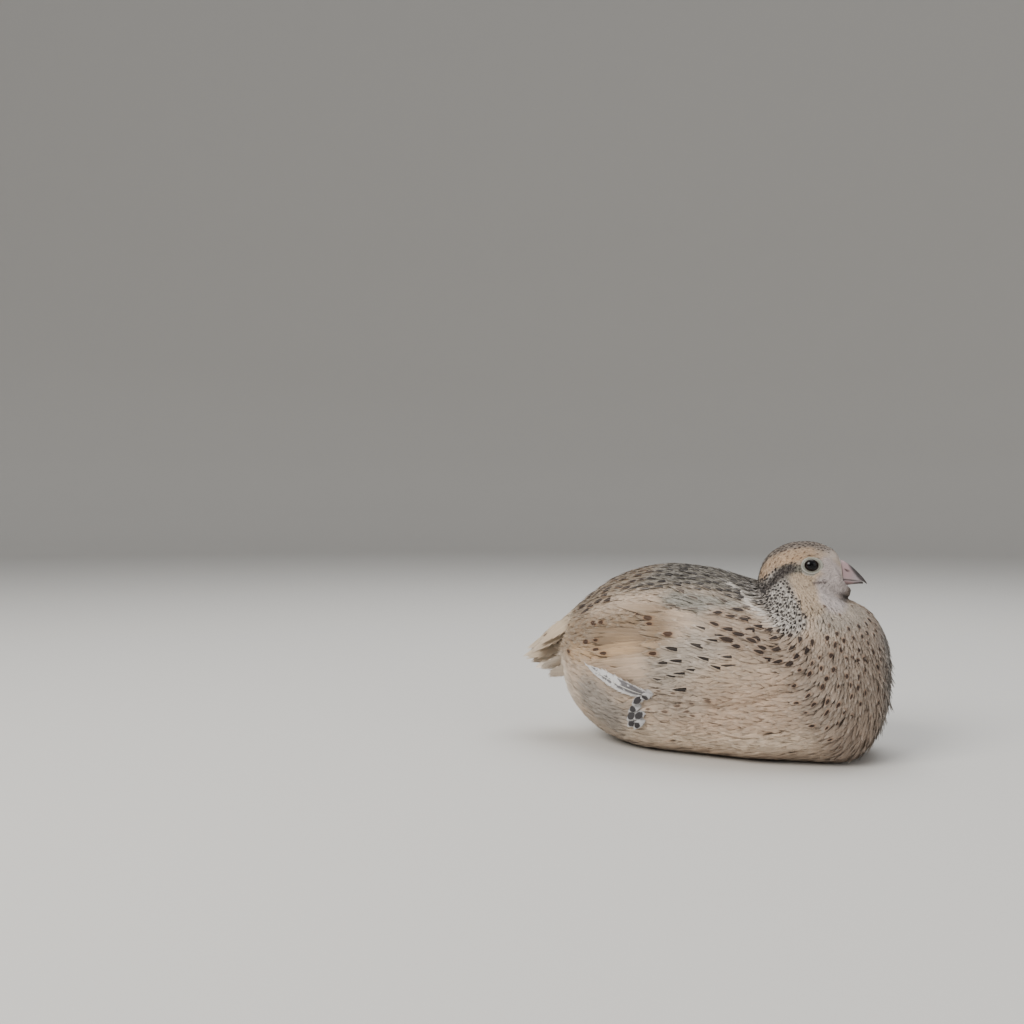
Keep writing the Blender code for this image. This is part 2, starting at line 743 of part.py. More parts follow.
def make_wing(side, guide, home, helpers):
    name = "wing_left" if side > 0 else "wing_right"
    core = wing_core(name, guide, side, home)
    for tier in WING_TIERS if side > 0 else (*WING_TIERS, STRAY):
        droop = STRAY_DROOP if tier is STRAY else 0.5
        for root, tip, least in tier_feathers(tier):
            vane(tier.name, helpers, flank_place(guide, tier, root, tip, side, droop, least))
    return combined(core, helpers, "UNION", name, home)


def fan_place(fan, index):
    """Where one tail feather runs."""
    share_across = 2 * index / (fan.count - 1) - 1
    sideways = math.radians(fan.spread) * share_across
    slope = math.radians(fan.slope)
    heading = Vector(
        (-math.cos(sideways) * math.cos(slope), math.sin(sideways) * math.cos(slope), -math.sin(slope))
    )
    root = Vector((fan.root[0] * MM, fan.root_half_width * MM * share_across, fan.root[1] * MM))
    root.z -= 2.2 * MM * share_across**2
    out = Vector((-math.sin(slope), 0.35 * share_across, math.cos(slope))).normalized()
    sideward = out.cross(heading).normalized()
    stagger = VANE_THICKNESS * 1.6 * (index % 2)

    def place(across, share):
        length = fan.length * MM * (1 - 0.07 * share_across**2)
        point = root + heading * length * share + out * stagger
        point += sideward * across * fan.width / 2 * MM * half_width_at(share)
        point.z -= fan.droop * MM * share * share
        return point, out

    return place


def make_tail(home, helpers):
    core = body_slice("tail", home, 0.0, TAIL_CUT, 7, 26, 0.0, GAP / 2)
    for fan in TAIL_FANS:
        for index in range(fan.count):
            vane(fan.name, helpers, fan_place(fan, index))
    return combined(core, helpers, "UNION", "tail", home)


def main():
    clear_scene()
    quail = collection("coturnix_quail")
    helpers = collection("helpers", hidden=True)
    materials = {name: make_material(name) for name in MATERIALS}
    recesses = [leg("recess", side, quail, helpers, swell=GAP) for side in (1, -1)]
    for recess in recesses:
        quail.objects.unlink(recess)
    finish(make_torso(quail, helpers, recesses), materials["plumage"])
    finish(make_neck(quail), materials["plumage"])
    finish(make_head(quail, helpers), materials["face"])
    finish(make_tail(quail, helpers), materials["tail_plumage"], 25.0)
    guide = guide_surface()
    for side, word in ((1, "left"), (-1, "right")):
        finish(make_wing(side, guide, quail, helpers), materials["wing_plumage"], 25.0)
        finish(make_eye(side, quail), materials["eye"])
        finish(leg(f"leg_{word}", side, quail, helpers), materials["foot"])
    finish(make_upper_bill(quail, helpers), materials["bill"])
    finish(bill_half("bill_lower", quail, upper=False), materials["bill"])
    bpy.data.collections.remove(helpers)


main()
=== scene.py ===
"""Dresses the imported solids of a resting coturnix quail: one skin, a coat of frayed feathers and a fine head.

The bird faces +X, its left side is +Y and the floor is z = 0. Sizes in tables are in millimetres, and what the
functions pass to each other is in metres.
"""

import logging
import math
from dataclasses import dataclass
from enum import Enum
from typing import NamedTuple, Sequence

import bmesh
import bpy
import numpy as np
from mathutils import Matrix, Vector, noise
from mathutils.bvhtree import BVHTree
from mathutils.kdtree import KDTree


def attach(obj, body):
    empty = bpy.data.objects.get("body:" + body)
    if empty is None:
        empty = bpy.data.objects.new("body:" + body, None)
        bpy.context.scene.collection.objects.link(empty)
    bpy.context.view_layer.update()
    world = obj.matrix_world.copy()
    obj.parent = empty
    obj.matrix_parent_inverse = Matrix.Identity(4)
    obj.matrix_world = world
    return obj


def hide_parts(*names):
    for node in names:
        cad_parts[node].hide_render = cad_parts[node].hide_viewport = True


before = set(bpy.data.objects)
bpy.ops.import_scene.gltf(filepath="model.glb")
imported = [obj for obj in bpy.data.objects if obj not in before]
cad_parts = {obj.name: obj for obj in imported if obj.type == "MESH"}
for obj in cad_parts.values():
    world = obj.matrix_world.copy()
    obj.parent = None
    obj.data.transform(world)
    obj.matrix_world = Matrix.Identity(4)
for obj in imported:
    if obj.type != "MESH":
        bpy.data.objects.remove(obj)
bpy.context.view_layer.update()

LOG = logging.getLogger("quail")
MM = 0.001
Array = np.ndarray
PAST_TIP = 1.1  # the feathers' map ends this far along them, because their barbs reach past the tip
PLAIN = 99.0  # the spacing of marks that leaves the feathers plain


class Side(Enum):
    """A side of the bird, as the sign of its Y."""

    LEFT = 1
    RIGHT = -1

    @property
    def word(self) -> str:
        """The side's name as the nodes spell it."""
        return self.name.lower()


def soft_step(x: Array | float, low: float = 0.0, high: float = 1.0) -> Array:
    """Rises softly from 0 at low to 1 at high.

    Args:
        x: where to read the curve.
        low: the last x that gives 0.
        high: the first x that gives 1, which may be less than low.

    Returns:
        The curve's height at each x.
    """
    t = np.clip((np.asarray(x, float) - low) / (high - low), 0.0, 1.0)
    return t * t * (3 - 2 * t)


def unit(vectors: Array) -> Array:
    """The vectors, each made one long."""
    return vectors / np.maximum(np.linalg.norm(vectors, axis=-1, keepdims=True), 1e-12)


def tint(red: int, green: int, blue: int) -> tuple[float, float, float]:
    """A screen colour as linear light.

    Args:
        red: from 0 to 255, as are green and blue.
        green: its green.
        blue: its blue.

    Returns:
        The three channels, from 0 to 1.
    """
    return tuple(
        c / 12.92 if c <= 0.04045 else ((c + 0.055) / 1.055) ** 2.4 for c in (red / 255, green / 255, blue / 255)
    )


# Shader maths


class Number:
    """A number that varies over a surface. Arithmetic on it adds Math nodes to its finish."""

    def __init__(self, graph: "Graph", socket: bpy.types.NodeSocket) -> None:
        """Wraps an output socket of the graph."""
        self.graph = graph
        self.socket = socket

    def __add__(self, other: "Number | float") -> "Number":
        """The sum."""
        return self.graph.math("ADD", self, other)

    __radd__ = __add__

    def __sub__(self, other: "Number | float") -> "Number":
        """The difference."""
        return self.graph.math("SUBTRACT", self, other)

    def __rsub__(self, other: float) -> "Number":
        """The difference from a plain number."""
        return self.graph.math("SUBTRACT", other, self)

    def __mul__(self, other: "Number | float") -> "Number":
        """The product."""
        return self.graph.math("MULTIPLY", self, other)

    __rmul__ = __mul__

    def __truediv__(self, other: "Number | float") -> "Number":
        """The quotient."""
        return self.graph.math("DIVIDE", self, other)

    def __pow__(self, other: float) -> "Number":
        """The power."""
        return self.graph.math("POWER", self, other)

    def __abs__(self) -> "Number":
        """The size without the sign."""
        return self.graph.math("ABSOLUTE", self)

    def sine(self) -> "Number":
        """The sine."""
        return self.graph.math("SINE", self)

    def step(self, low: float, high: float) -> "Number":
        """Rises softly from 0 at low to 1 at high, or falls where high is the lesser.

        Args:
            low: the last value that gives 0.
            high: the first value that gives 1.

        Returns:
            The number, between 0 and 1.
        """
        turned = high < low
        made = self.graph.node(
            "ShaderNodeMapRange",
            {"interpolation_type": "SMOOTHSTEP"},
            {"Value": self, "From Min": min(low, high), "From Max": max(low, high)},
        )
        risen = Number(self.graph, made.outputs["Result"])
        return 1.0 - risen if turned else risen


class Graph:
    """The node tree of one finish, round its Principled shader."""

    def __init__(self, name: str) -> None:
        """Makes the material and finds its shader.

        Args:
            name: of the material.
        """
        self.material = bpy.data.materials.new(name)
        self.material.use_nodes = True
        self.tree = self.material.node_tree
        self.shader = self.tree.nodes["Principled BSDF"]

    def put(self, value: object, socket: bpy.types.NodeSocket) -> None:
        """Sets or links a socket.

        Args:
            value: a number, a colour, an output socket or a Number.
            socket: the input that takes it.
        """
        if isinstance(value, Number):
            value = value.socket
        if isinstance(value, bpy.types.NodeSocket):
            self.tree.links.new(value, socket)
        elif isinstance(value, (tuple, list)) and socket.type == "RGBA" and len(value) == 3:
            socket.default_value = (*value, 1.0)
        else:
            socket.default_value = value

    def node(self, kind: str, settings: dict | None = None, sockets: dict | None = None) -> bpy.types.Node:
        """Makes any node of the tree.

        Args:
            kind: the node's type.
            settings: its own settings, which are set before its sockets.
            sockets: values or links of its inputs, by name or number.

        Returns:
            The node.
        """
        made = self.tree.nodes.new(kind)
        for name, value in (settings or {}).items():
            setattr(made, name, value)
        for name, value in (sockets or {}).items():
            self.put(value, made.inputs[name])
        return made

    def math(self, operation: str, *values: "Number | float") -> Number:
        """One Math node on the values."""
        made = self.node("ShaderNodeMath", {"operation": operation}, dict(enumerate(values)))
        return Number(self, made.outputs[0])

    def mix(self, share: "Number | float", first: object, second: object, blend: str = "MIX") -> object:
        """Blends two colours.

        Args:
            share: how much of the second shows.
            first: a colour or a colour socket.
            second: the same.
            blend: the way of blending.

        Returns:
            The blended colour's socket.
        """
        made = self.node(
            "ShaderNodeMix",
            {"data_type": "RGBA", "blend_type": blend, "clamp_factor": True},
            {0: share, 6: first, 7: second},
        )
        return made.outputs[2]

    def attribute(self, name: str, output: str = "Color") -> bpy.types.NodeSocket:
        """An output of a named attribute of the mesh."""
        return self.node("ShaderNodeAttribute", {"attribute_name": name}).outputs[output]

    def parts(self, vector: object) -> tuple[Number, Number, Number]:
        """The three numbers of a vector."""
        made = self.node("ShaderNodeSeparateXYZ", None, {0: vector})
        return tuple(Number(self, made.outputs[i]) for i in range(3))

    def place(self, stretch: Sequence[float] = (1, 1, 1)) -> bpy.types.NodeSocket:
        """The piece's own coordinates, stretched."""
        made = self.node("ShaderNodeTexCoord")
        return self.node("ShaderNodeMapping", None, {"Vector": made.outputs["Object"], "Scale": stretch}).outputs[0]

    def feather_place(self) -> tuple[Number, Number]:
        """Where on its feather a point is: from -1 to 1 across it, and from 0 to past 1 along it."""
        across, along, _ = self.parts(self.node("ShaderNodeUVMap", {"uv_map": "Feather"}).outputs[0])
        return across * 2 - 1, along * PAST_TIP

    def darken(self, colour: object, light: Number) -> object:
        """The colour times a light of about 1."""
        bright = self.node("ShaderNodeCombineColor", None, {0: light, 1: light, 2: light}).outputs[0]
        return self.mix(1.0, colour, bright, "MULTIPLY")

    def grain(self, vector: object, scale: float, detail: float = 2.0, rough: float = 0.5) -> Number:
        """Soft noise from 0 to 1.

        Args:
            vector: the coordinates that it reads.
            scale: how fine it is.
            detail: how many finer layers it has.
            rough: how strong these are.

        Returns:
            The noise.
        """
        made = self.node(
            "ShaderNodeTexNoise", None, {"Vector": vector, "Scale": scale, "Detail": detail, "Roughness": rough}
        )
        return Number(self, made.outputs[0])

    def relief(self, height: Number, strength: float, depth: float) -> None:
        """Feeds the shader's Normal from a height.

        Args:
            height: the relief, from 0 to 1.
            strength: the share of it that shows.
            depth: its height in metres.
        """
        bump = self.node("ShaderNodeBump", None, {"Strength": strength, "Distance": depth, "Height": height})
        self.put(bump.outputs[0], self.shader.inputs["Normal"])

    def set(self, **values: object) -> bpy.types.Material:
        """Sets sockets of the shader by name, with _ for a space.

        Args:
            values: what each takes.

        Returns:
            The finished material.
        """
        for name, value in values.items():
            self.put(value, self.shader.inputs[name.replace("_", " ")])
        return self.material


# The bird's form


class Lay(NamedTuple):
    """The surface round each of many places."""

    point: Array
    back: Array  # unit, along the surface towards the tail
    aside: Array  # unit, along the surface, square to back
    out: Array  # unit, out of the bird
    along_u: Array  # metres and direction for one step of u
    along_angle: Array


@dataclass(frozen=True)
class Form:
    """The outside of the plumage: a slanting loft from the rump to the bill. Angle 0 is the back, pi the belly."""

    rings: tuple = (
        # back x and z, belly x and z, half width, height of the widest place, fullness above it, below it
        (-66.0, 47.4, -67.0, 31.5, 5.5, 0.52, 2.0, 2.0),
        (-60.0, 52.5, -61.5, 26.5, 10.5, 0.52, 2.0, 2.0),
        (-51.0, 60.3, -56.0, 15.0, 19.0, 0.48, 2.05, 2.2),
        (-38.0, 69.3, -43.0, 4.2, 28.0, 0.45, 2.1, 2.4),
        (-20.0, 74.6, -23.0, -0.8, 34.8, 0.43, 2.2, 2.7),
        (-2.0, 74.0, 6.0, -1.4, 37.3, 0.42, 2.2, 2.8),
        (10.5, 71.2, 34.0, -1.4, 37.3, 0.42, 2.2, 2.7),
        (18.0, 69.2, 58.5, 0.0, 34.6, 0.43, 2.2, 2.45),
        (20.4, 68.6, 70.2, 16.5, 31.0, 0.44, 2.1, 2.15),
        (21.2, 69.2, 71.8, 41.5, 25.4, 0.46, 2.05, 2.05),
        (21.6, 71.6, 65.6, 56.2, 18.2, 0.50, 2.0, 2.0),
        (23.2, 76.4, 56.6, 61.8, 13.0, 0.52, 2.0, 2.1),
        (27.2, 81.2, 56.8, 63.9, 10.5, 0.56, 2.0, 2.2),
        (34.5, 84.7, 57.2, 65.8, 9.0, 0.60, 2.05, 2.3),
        (43.5, 84.9, 56.4, 66.9, 7.7, 0.60, 2.1, 2.4),
        (50.3, 82.1, 54.0, 67.0, 5.8, 0.55, 2.1, 2.4),
        (53.2, 78.2, 54.6, 67.7, 4.2, 0.50, 2.1, 2.4),
    )
    swells: tuple = (
        # x, y, z, reach and height: cheek, brow, hollow before the eye, throat, thigh
        (37.0, 10.0, 70.5, 6.5, 1.2),
        (42.0, 7.0, 81.0, 4.0, 0.7),
        (49.5, 6.0, 75.0, 3.6, -0.8),
        (56.0, 0.0, 64.4, 4.0, 0.1),
        (22.0, 32.0, 11.0, 15.0, 1.6),
    )
    head_turn: float = math.radians(4.0)
    turn_starts: float = 8.5
    turn_ends: float = 11.5
    turn_axis_x: float = 34.0 * MM
    wing_middle: tuple = (0.5, 41.5)
    wing_half_length: float = 44.0
    wing_half_height: float = 18.0
    wing_lean: float = math.radians(4.0)
    wing_swell: float = 0.18
    wing_rise: float = 3.0
    wing_step: float = 0.4

    @property
    def last(self) -> float:
        """The u of the last ring, at the root of the bill."""
        return len(self.rings) - 1.0

    def sizes(self, u: Array) -> Array:
        """The ring's numbers at each u, by a smooth curve through the rings.

        Args:
            u: the places along the bird.

        Returns:
            The eight numbers of a ring for each.
        """
        table = np.array(self.rings)
        end = len(table) - 1
        whole = np.clip(np.floor(u).astype(int), 0, end - 1)
        t = (u - whole)[..., None]
        before, start = table[np.maximum(whole - 1, 0)], table[whole]
        stop, after = table[whole + 1], table[np.minimum(whole + 2, end)]
        slope_in, slope_out = (stop - before) / 2, (after - start) / 2
        return (
            (2 * t**3 - 3 * t**2 + 1) * start
            + (t**3 - 2 * t**2 + t) * slope_in
            + (3 * t**2 - 2 * t**3) * stop
            + (t**3 - t**2) * slope_out
        )

    def fullness_of_wing(self, x: Array, z: Array) -> Array:
        """How full the folded wing is at a place seen from the side.

        Args:
            x: the place's x in millimetres.
            z: its height in millimetres.

        Returns:
            1 in the wing's middle, and 0 at its edge and beyond.
        """
        cosine, sine = math.cos(self.wing_lean), math.sin(self.wing_lean)
        x, z = x - self.wing_middle[0], z - self.wing_middle[1]
        along = (x * cosine + z * sine) / self.wing_half_length
        across = (z * cosine - x * sine) / self.wing_half_height / (1 + self.wing_swell * np.clip(along, -1, 1))
        return np.sqrt(np.maximum(0.0, 1 - along**2 - across**2))

    def outside(self, u: Array, angle: Array, turned: bool = True, winged: bool = True) -> Array:
        """Points of the plumage's outside.

        Args:
            u: which ring, from 0 at the tail to the last at the bill.
            angle: how far round from the back, with plus on the left.
            turned: whether the head is turned as the bird holds it.
            winged: whether the folded wings swell it.

        Returns:
            The points in metres.
        """
        back_x, back_z, belly_x, belly_z, half_width, waist, full, settled = np.moveaxis(self.sizes(u), -1, 0)
        cosine, sine = np.cos(angle), np.sin(angle)
        power = 2 / np.where(cosine > 0, full, settled)
        up = np.sign(cosine) * np.abs(cosine) ** power
        out = np.sign(sine) * np.abs(sine) ** power
        height = waist + up * np.where(cosine > 0, 1 - waist, waist)
        slant_x, slant_z = back_x - belly_x, back_z - belly_z
        points = np.stack([belly_x + slant_x * height, half_width * out, belly_z + slant_z * height], axis=-1)
        middle = np.stack([belly_x + slant_x * waist, 0 * waist, belly_z + slant_z * waist], axis=-1)
        outward = unit(points - middle)
        rise = np.zeros(np.shape(points)[:-1])
        for x, y, z, reach, swell in self.swells:
            for side in (1, -1) if y else (1,):
                away = points - np.array([x, side * y, z])
                rise = rise + swell * np.exp(-np.sum(away**2, axis=-1) / reach**2)
        if winged:
            level = self.fullness_of_wing(points[..., 0], points[..., 2])
            edge = self.wing_step * soft_step(level, 0.0, 0.35)
            rise = rise + (edge + self.wing_rise * level**1.4) * np.abs(out) ** 2
        points = (points + outward * rise[..., None]) * MM
        if not turned:
            return points
        return self.turned(points, soft_step(u, self.turn_starts, self.turn_ends))

    def turned(self, points: Array, share: Array | float = 1.0) -> Array:
        """The points turned as the head is.

        Args:
            points: in metres.
            share: of the head's turn that each gets.

        Returns:
            The turned points.
        """
        cosine, sine = np.cos(self.head_turn * share), np.sin(self.head_turn * share)
        x, y = points[..., 0] - self.turn_axis_x, points[..., 1]
        return np.stack([self.turn_axis_x + x * cosine - y * sine, x * sine + y * cosine, points[..., 2]], axis=-1)

    def head_matrix(self) -> Matrix:
        """Turns what is placed on the unturned head."""
        axis = Matrix.Translation((self.turn_axis_x, 0, 0))
        return axis @ Matrix.Rotation(self.head_turn, 4, "Z") @ axis.inverted()

    def lay(self, u: Array, angle: Array) -> Lay:
        """The surface round each place.

        Args:
            u: the places along the bird.
            angle: and round it.

        Returns:
            The points and the directions there.
        """
        small_u, small_turn = 0.03, 0.02
        low, high = np.clip(u - small_u, 0, self.last), np.clip(u + small_u, 0, self.last)
        along_u = (self.outside(high, angle) - self.outside(low, angle)) / (high - low)[..., None]
        ahead, behind = self.outside(u, angle + small_turn), self.outside(u, angle - small_turn)
        along_angle = (ahead - behind) / (2 * small_turn)
        out = unit(np.cross(along_u, along_angle))
        back = -unit(along_u)
        return Lay(self.outside(u, angle), back, np.cross(back, out), out, along_u, along_angle)

    def flank_map(self) -> tuple[KDTree, Array, Array]:
        """Places all over the right side, to find one by its x and z.

        Returns:
            A tree of them, and the u and the angle of each.
        """
        u, angle = np.meshgrid(
            np.linspace(0.0, 9.5, 320), np.radians(np.linspace(-165, -12, 220)), indexing="ij"
        )
        points = self.outside(u, angle).reshape(-1, 3)
        tree = KDTree(len(points))
        for index, (x, _, z) in enumerate(points):
            tree.insert((x, 0.0, z), index)
        tree.balance()
        return tree, u.ravel(), angle.ravel()


# Colours and marks of the plumage


class Mark(NamedTuple):
    """The dark mark on a feather."""

    spacing: float = PLAIN  # least distance between marked feathers
    length: float = 3.0
    width: float = 1.1
    warmth: float = 0.3  # 0 is black and 1 a warm brown
    strength: float = 0.9
    shaft: float = 0.15  # how pale the shaft is


class Touch(NamedTuple):
    """A soft stroke of colour over the plumage, the same on both sides of the bird."""

    name: str
    tone: tuple
    path: tuple
    radius: float
    soft: float
    mark: Mark | None = None


@dataclass(frozen=True)
class Plumage:
    """Where each colour and mark lies, laid on in this order over a creamy buff."""

    ground: tuple = tint(188, 166, 145)
    uneven: float = 0.09
    cloud: float = 0.16
    flatter: float = 0.6  # how much a distance across the bird counts
    touches: tuple = (
        Touch("flank", tint(197, 171, 148), ((34, 37, 24), (8, 37, 14)), 13, 10, Mark(13, 1.8, 1.0, 0.5, 0.4)),
        Touch("rear_flank", tint(184, 166, 149), ((0, 36, 24), (-16, 35, 26)), 7, 6, Mark(5.5, 2.3, 1.2, 0.4, 0.7)),
        Touch("mantle", tint(108, 102, 93), ((22, 0, 70), (0, 0, 74), (-24, 0, 74)), 16, 8,
              Mark(2.9, 7.0, 1.7, 0.06, 1.0, 0.9)),
        Touch("scapular", tint(142, 137, 127), ((15, 28, 59), (0, 28, 61), (-8, 27, 62)), 4.5, 5,
              Mark(5.0, 6.0, 1.2, 0.2, 0.8, 0.4)),
        Touch("rump", tint(124, 108, 90), ((-30, 0, 71), (-46, 0, 63), (-62, 0, 50)), 13, 9,
              Mark(3.9, 6.2, 1.6, 0.18, 1.0, 0.5)),
        Touch("rump_side", tint(141, 120, 98), ((-16, 33, 50), (-32, 28, 47), (-60, 10, 44)), 9, 7,
              Mark(8.0, 3.0, 2.2, 0.6, 0.95)),
        Touch("buff_wash", tint(196, 164, 128), ((-20, 34, 44), (-36, 27, 39), (-50, 18, 38)), 3.5, 6),
        Touch("wing_middle", tint(178, 165, 151), ((10, 34, 50), (2, 36, 42), (-8, 36, 36)), 8, 7,
              Mark(5.0, 8.0, 1.3, 0.05, 1.0)),
        Touch("shoulder", tint(166, 146, 128), ((12, 34, 54), (22, 34, 50), (32, 34, 45), (46, 31, 41)), 6.5, 6,
              Mark(3.7, 5.4, 1.8, 0.18, 1.0)),
        Touch("vent", tint(152, 142, 132), ((-42, 24, 22), (-30, 29, 12)), 8, 7),
        Touch("belly", tint(192, 177, 161), ((44, 0, 0), (0, 0, 0), (-40, 0, 6)), 13, 8),
        # partly the pale buff low on the flank and partly painted light, lighter to make up for the little light that
        # reaches there
        Touch("low_flank", tint(228, 207, 184), ((40, 36, 9), (10, 36, 6), (-22, 30, 8)), 5, 9),
        # partly the pale undertail coverts and partly painted light, lighter to make up for the shade under the tail
        Touch("under_tail", tint(232, 219, 203), ((-50, 0, 20), (-68, 0, 32)), 10, 8),
        Touch("tail", tint(190, 171, 147), ((-60, 0, 48), (-84, 0, 34)), 9, 6, Mark(6, 2.4, 1.4, 0.5, 0.7)),
        Touch("breast", tint(158, 141, 126), ((56, 22, 30), (66, 0, 40)), 20, 12, Mark(3.5, 2.3, 1.3, 0.3, 1.0)),
        Touch("low_breast", tint(158, 139, 123), ((62, 20, 8), (64, 0, 6)), 13, 8, Mark(7.0, 2.0, 1.0, 0.4, 0.8)),
        # partly the breast's own greyish cream and partly painted shade: the front of the breast is darkened as if it
        # lay in shadow
        Touch("breast_front", tint(144, 137, 130), ((73, 0, 14), (73, 0, 46)), 8, 8, Mark(4.4, 2.2, 1.0, 0.3, 0.9)),
        Touch("upper_breast", tint(166, 153, 139), ((50, 22, 56), (58, 12, 57)), 6, 5, Mark(5.5, 1.6, 0.9, 0.4, 0.8)),
        Touch("nape", tint(104, 97, 90), ((20, 0, 70), (22, 8, 67)), 6, 4, Mark(2.0, 3.8, 1.2, 0.05, 1.0, 0.9)),
        Touch("neck_side", tint(178, 171, 163), ((25, 12, 69), (30, 19, 63), (36, 25, 56)), 6.2, 3.5,
              Mark(1.2, 1.6, 1.15, 0.08, 1.0, 0.0)),
        Touch("neck_shade", tint(128, 120, 113), ((23, 9, 70), (24.5, 15, 65), (27, 20, 60)), 2.6, 3.0,
              Mark(1.0, 1.7, 1.3, 0.05, 1.0, 0.0)),
        Touch("pale_streak", tint(216, 208, 198), ((12, 15, 69), (21, 23, 61.5), (27, 27, 56), (32, 28, 53)),
              1.0, 1.4),
        Touch("crown", tint(126, 113, 102), ((27, 0, 79), (36, 0, 84.5), (47, 0, 84.5)), 5, 2.5,
              Mark(1.4, 2.6, 0.75, 0.1, 0.95, 0.3)),
        Touch("crown_stripe", tint(196, 186, 172), ((27, 0, 79), (36, 0, 84.5), (49, 0, 83.5)), 0.8, 0.9, Mark()),
        Touch("brow", tint(184, 156, 128), ((23.5, 6, 72.5), (27.5, 7, 77), (34, 8, 79.6), (41.5, 7, 80.2)), 2.7, 2.2,
              Mark(1.9, 2.6, 0.36, 0.2, 0.75)),
        Touch("brow_light", tint(192, 160, 128), ((31, 9, 77.6), (39, 8, 79.4)), 1.1, 1.6),
        Touch("forehead", tint(192, 180, 172), ((50, 4, 79.5), (53, 1, 79)), 2.0, 6.5, Mark()),
        Touch("lore", tint(196, 183, 179), ((48, 7.5, 76), (51, 6, 73)), 3.2, 2.2, Mark()),
        Touch("cheek", tint(180, 158, 134), ((38.5, 13, 70.6), (41, 16, 66), (43, 20, 60)), 4.3, 2.6, Mark()),
        Touch("throat", tint(187, 175, 171), ((53, 7, 68), (48, 10, 68.5), (49, 15, 64), (51, 14, 61)), 4.2, 3.0,
              Mark()),
        # painted shade: this dark touch paints the shade under the chin and on the front of the throat
        Touch("chin", tint(64, 57, 58), ((57, 1, 66.0), (56.4, 0, 64.2), (54.4, 6, 63.0), (52.8, 10, 61.6)), 1.8, 3.6,
              Mark()),
        Touch("ear", tint(122, 117, 106), ((39, 11, 74.8), (33, 11, 74.4)), 1.7, 1.4, Mark(1.0, 0.9, 0.6, 0.05, 0.7)),
        Touch("eye_band", tint(56, 48, 44), ((34.4, 11, 75.0), (31.5, 11, 73.6), (28, 12, 70), (25, 13, 66)), 1.9, 1.6,
              Mark(1.3, 1.6, 0.9, 0.05, 0.8)),
        # painted shade: a thin dark line in the crease of the jaw fold
        Touch("jaw_fold", tint(92, 80, 78), ((42.7, 12, 69.3), (47.8, 9.5, 69.7)), 0.4, 0.6, Mark()),
        Touch("gape", tint(206, 194, 192), ((50, 8, 70.3), (54, 5, 70.1)), 0.5, 0.7, Mark()),
    )

    def at(self, points: Array) -> tuple[Array, Array]:
        """The colour and the mark at each place of the unturned bird.

        Args:
            points: the places in metres.

        Returns:
            A colour for each, and the six numbers of its mark.
        """
        places = points / MM
        places[:, 1] = np.abs(places[:, 1]) * self.flatter
        tones = np.tile(np.array(self.ground), (len(points), 1))
        marks = np.tile(np.array(Mark(), float), (len(points), 1))
        for touch in self.touches:
            path = np.array(touch.path, float)
            path[:, 1] *= self.flatter
            gap = np.full(len(points), 1e9)
            for start, stop in zip(path, path[1:]):
                run = stop - start
                share = np.clip((places - start) @ run / max(run @ run, 1e-9), 0, 1)
                gap = np.minimum(gap, np.linalg.norm(places - start - share[:, None] * run, axis=1))
            weight = soft_step(gap, touch.radius + touch.soft / 2, touch.radius - touch.soft / 2)[:, None]
            tones = tones + (np.array(touch.tone) - tones) * weight
            if touch.mark is not None:
                marks = np.where(weight > 0.5, np.array(touch.mark, float), marks)
        cloud = np.array([noise.noise(Vector(place) * self.cloud) for place in points / MM])
        return tones * (1 + 2 * self.uneven * cloud[:, None]), marks


def spread_out(points: Array, spacing: Array, seed: int) -> Array:
    """Picks places that keep a distance from each other.

    Args:
        points: the places in metres.
        spacing: the least distance from a picked place to the next, in millimetres, or PLAIN for none.
        seed: of the order in which they are tried.

    Returns:
        Whether each is picked.
    """
    picked = np.zeros(len(points), bool)
    for index in np.random.default_rng(seed).permutation(np.flatnonzero(spacing < PLAIN)):
        near = points[picked] - points[index]
        if not len(near) or np.min(np.einsum("ij,ij->i", near, near)) > (spacing[index] * MM) ** 2:
            picked[index] = True
    return picked


# Feathers


class Paths(NamedTuple):
    """The lines that feathers lie along, each from its root to a little past its tip, with rows evenly spaced."""

    point: Array  # feathers by rows by 3
    out: Array
    aside: Array


class Trim(NamedTuple):
    """How the feathers of one piece are cut and laid. Each is an array, or one number for all, in metres."""

    half_width: Array | float
    sunk: Array | float  # how deep the root is
    crest: Array | float  # how high the visible part lies over the path
    tip_lift: Array | float = 0.0
    dome: Array | float = 0.0  # how far the edges drop
    shingle: Array | float = 0.0  # how much one edge is raised


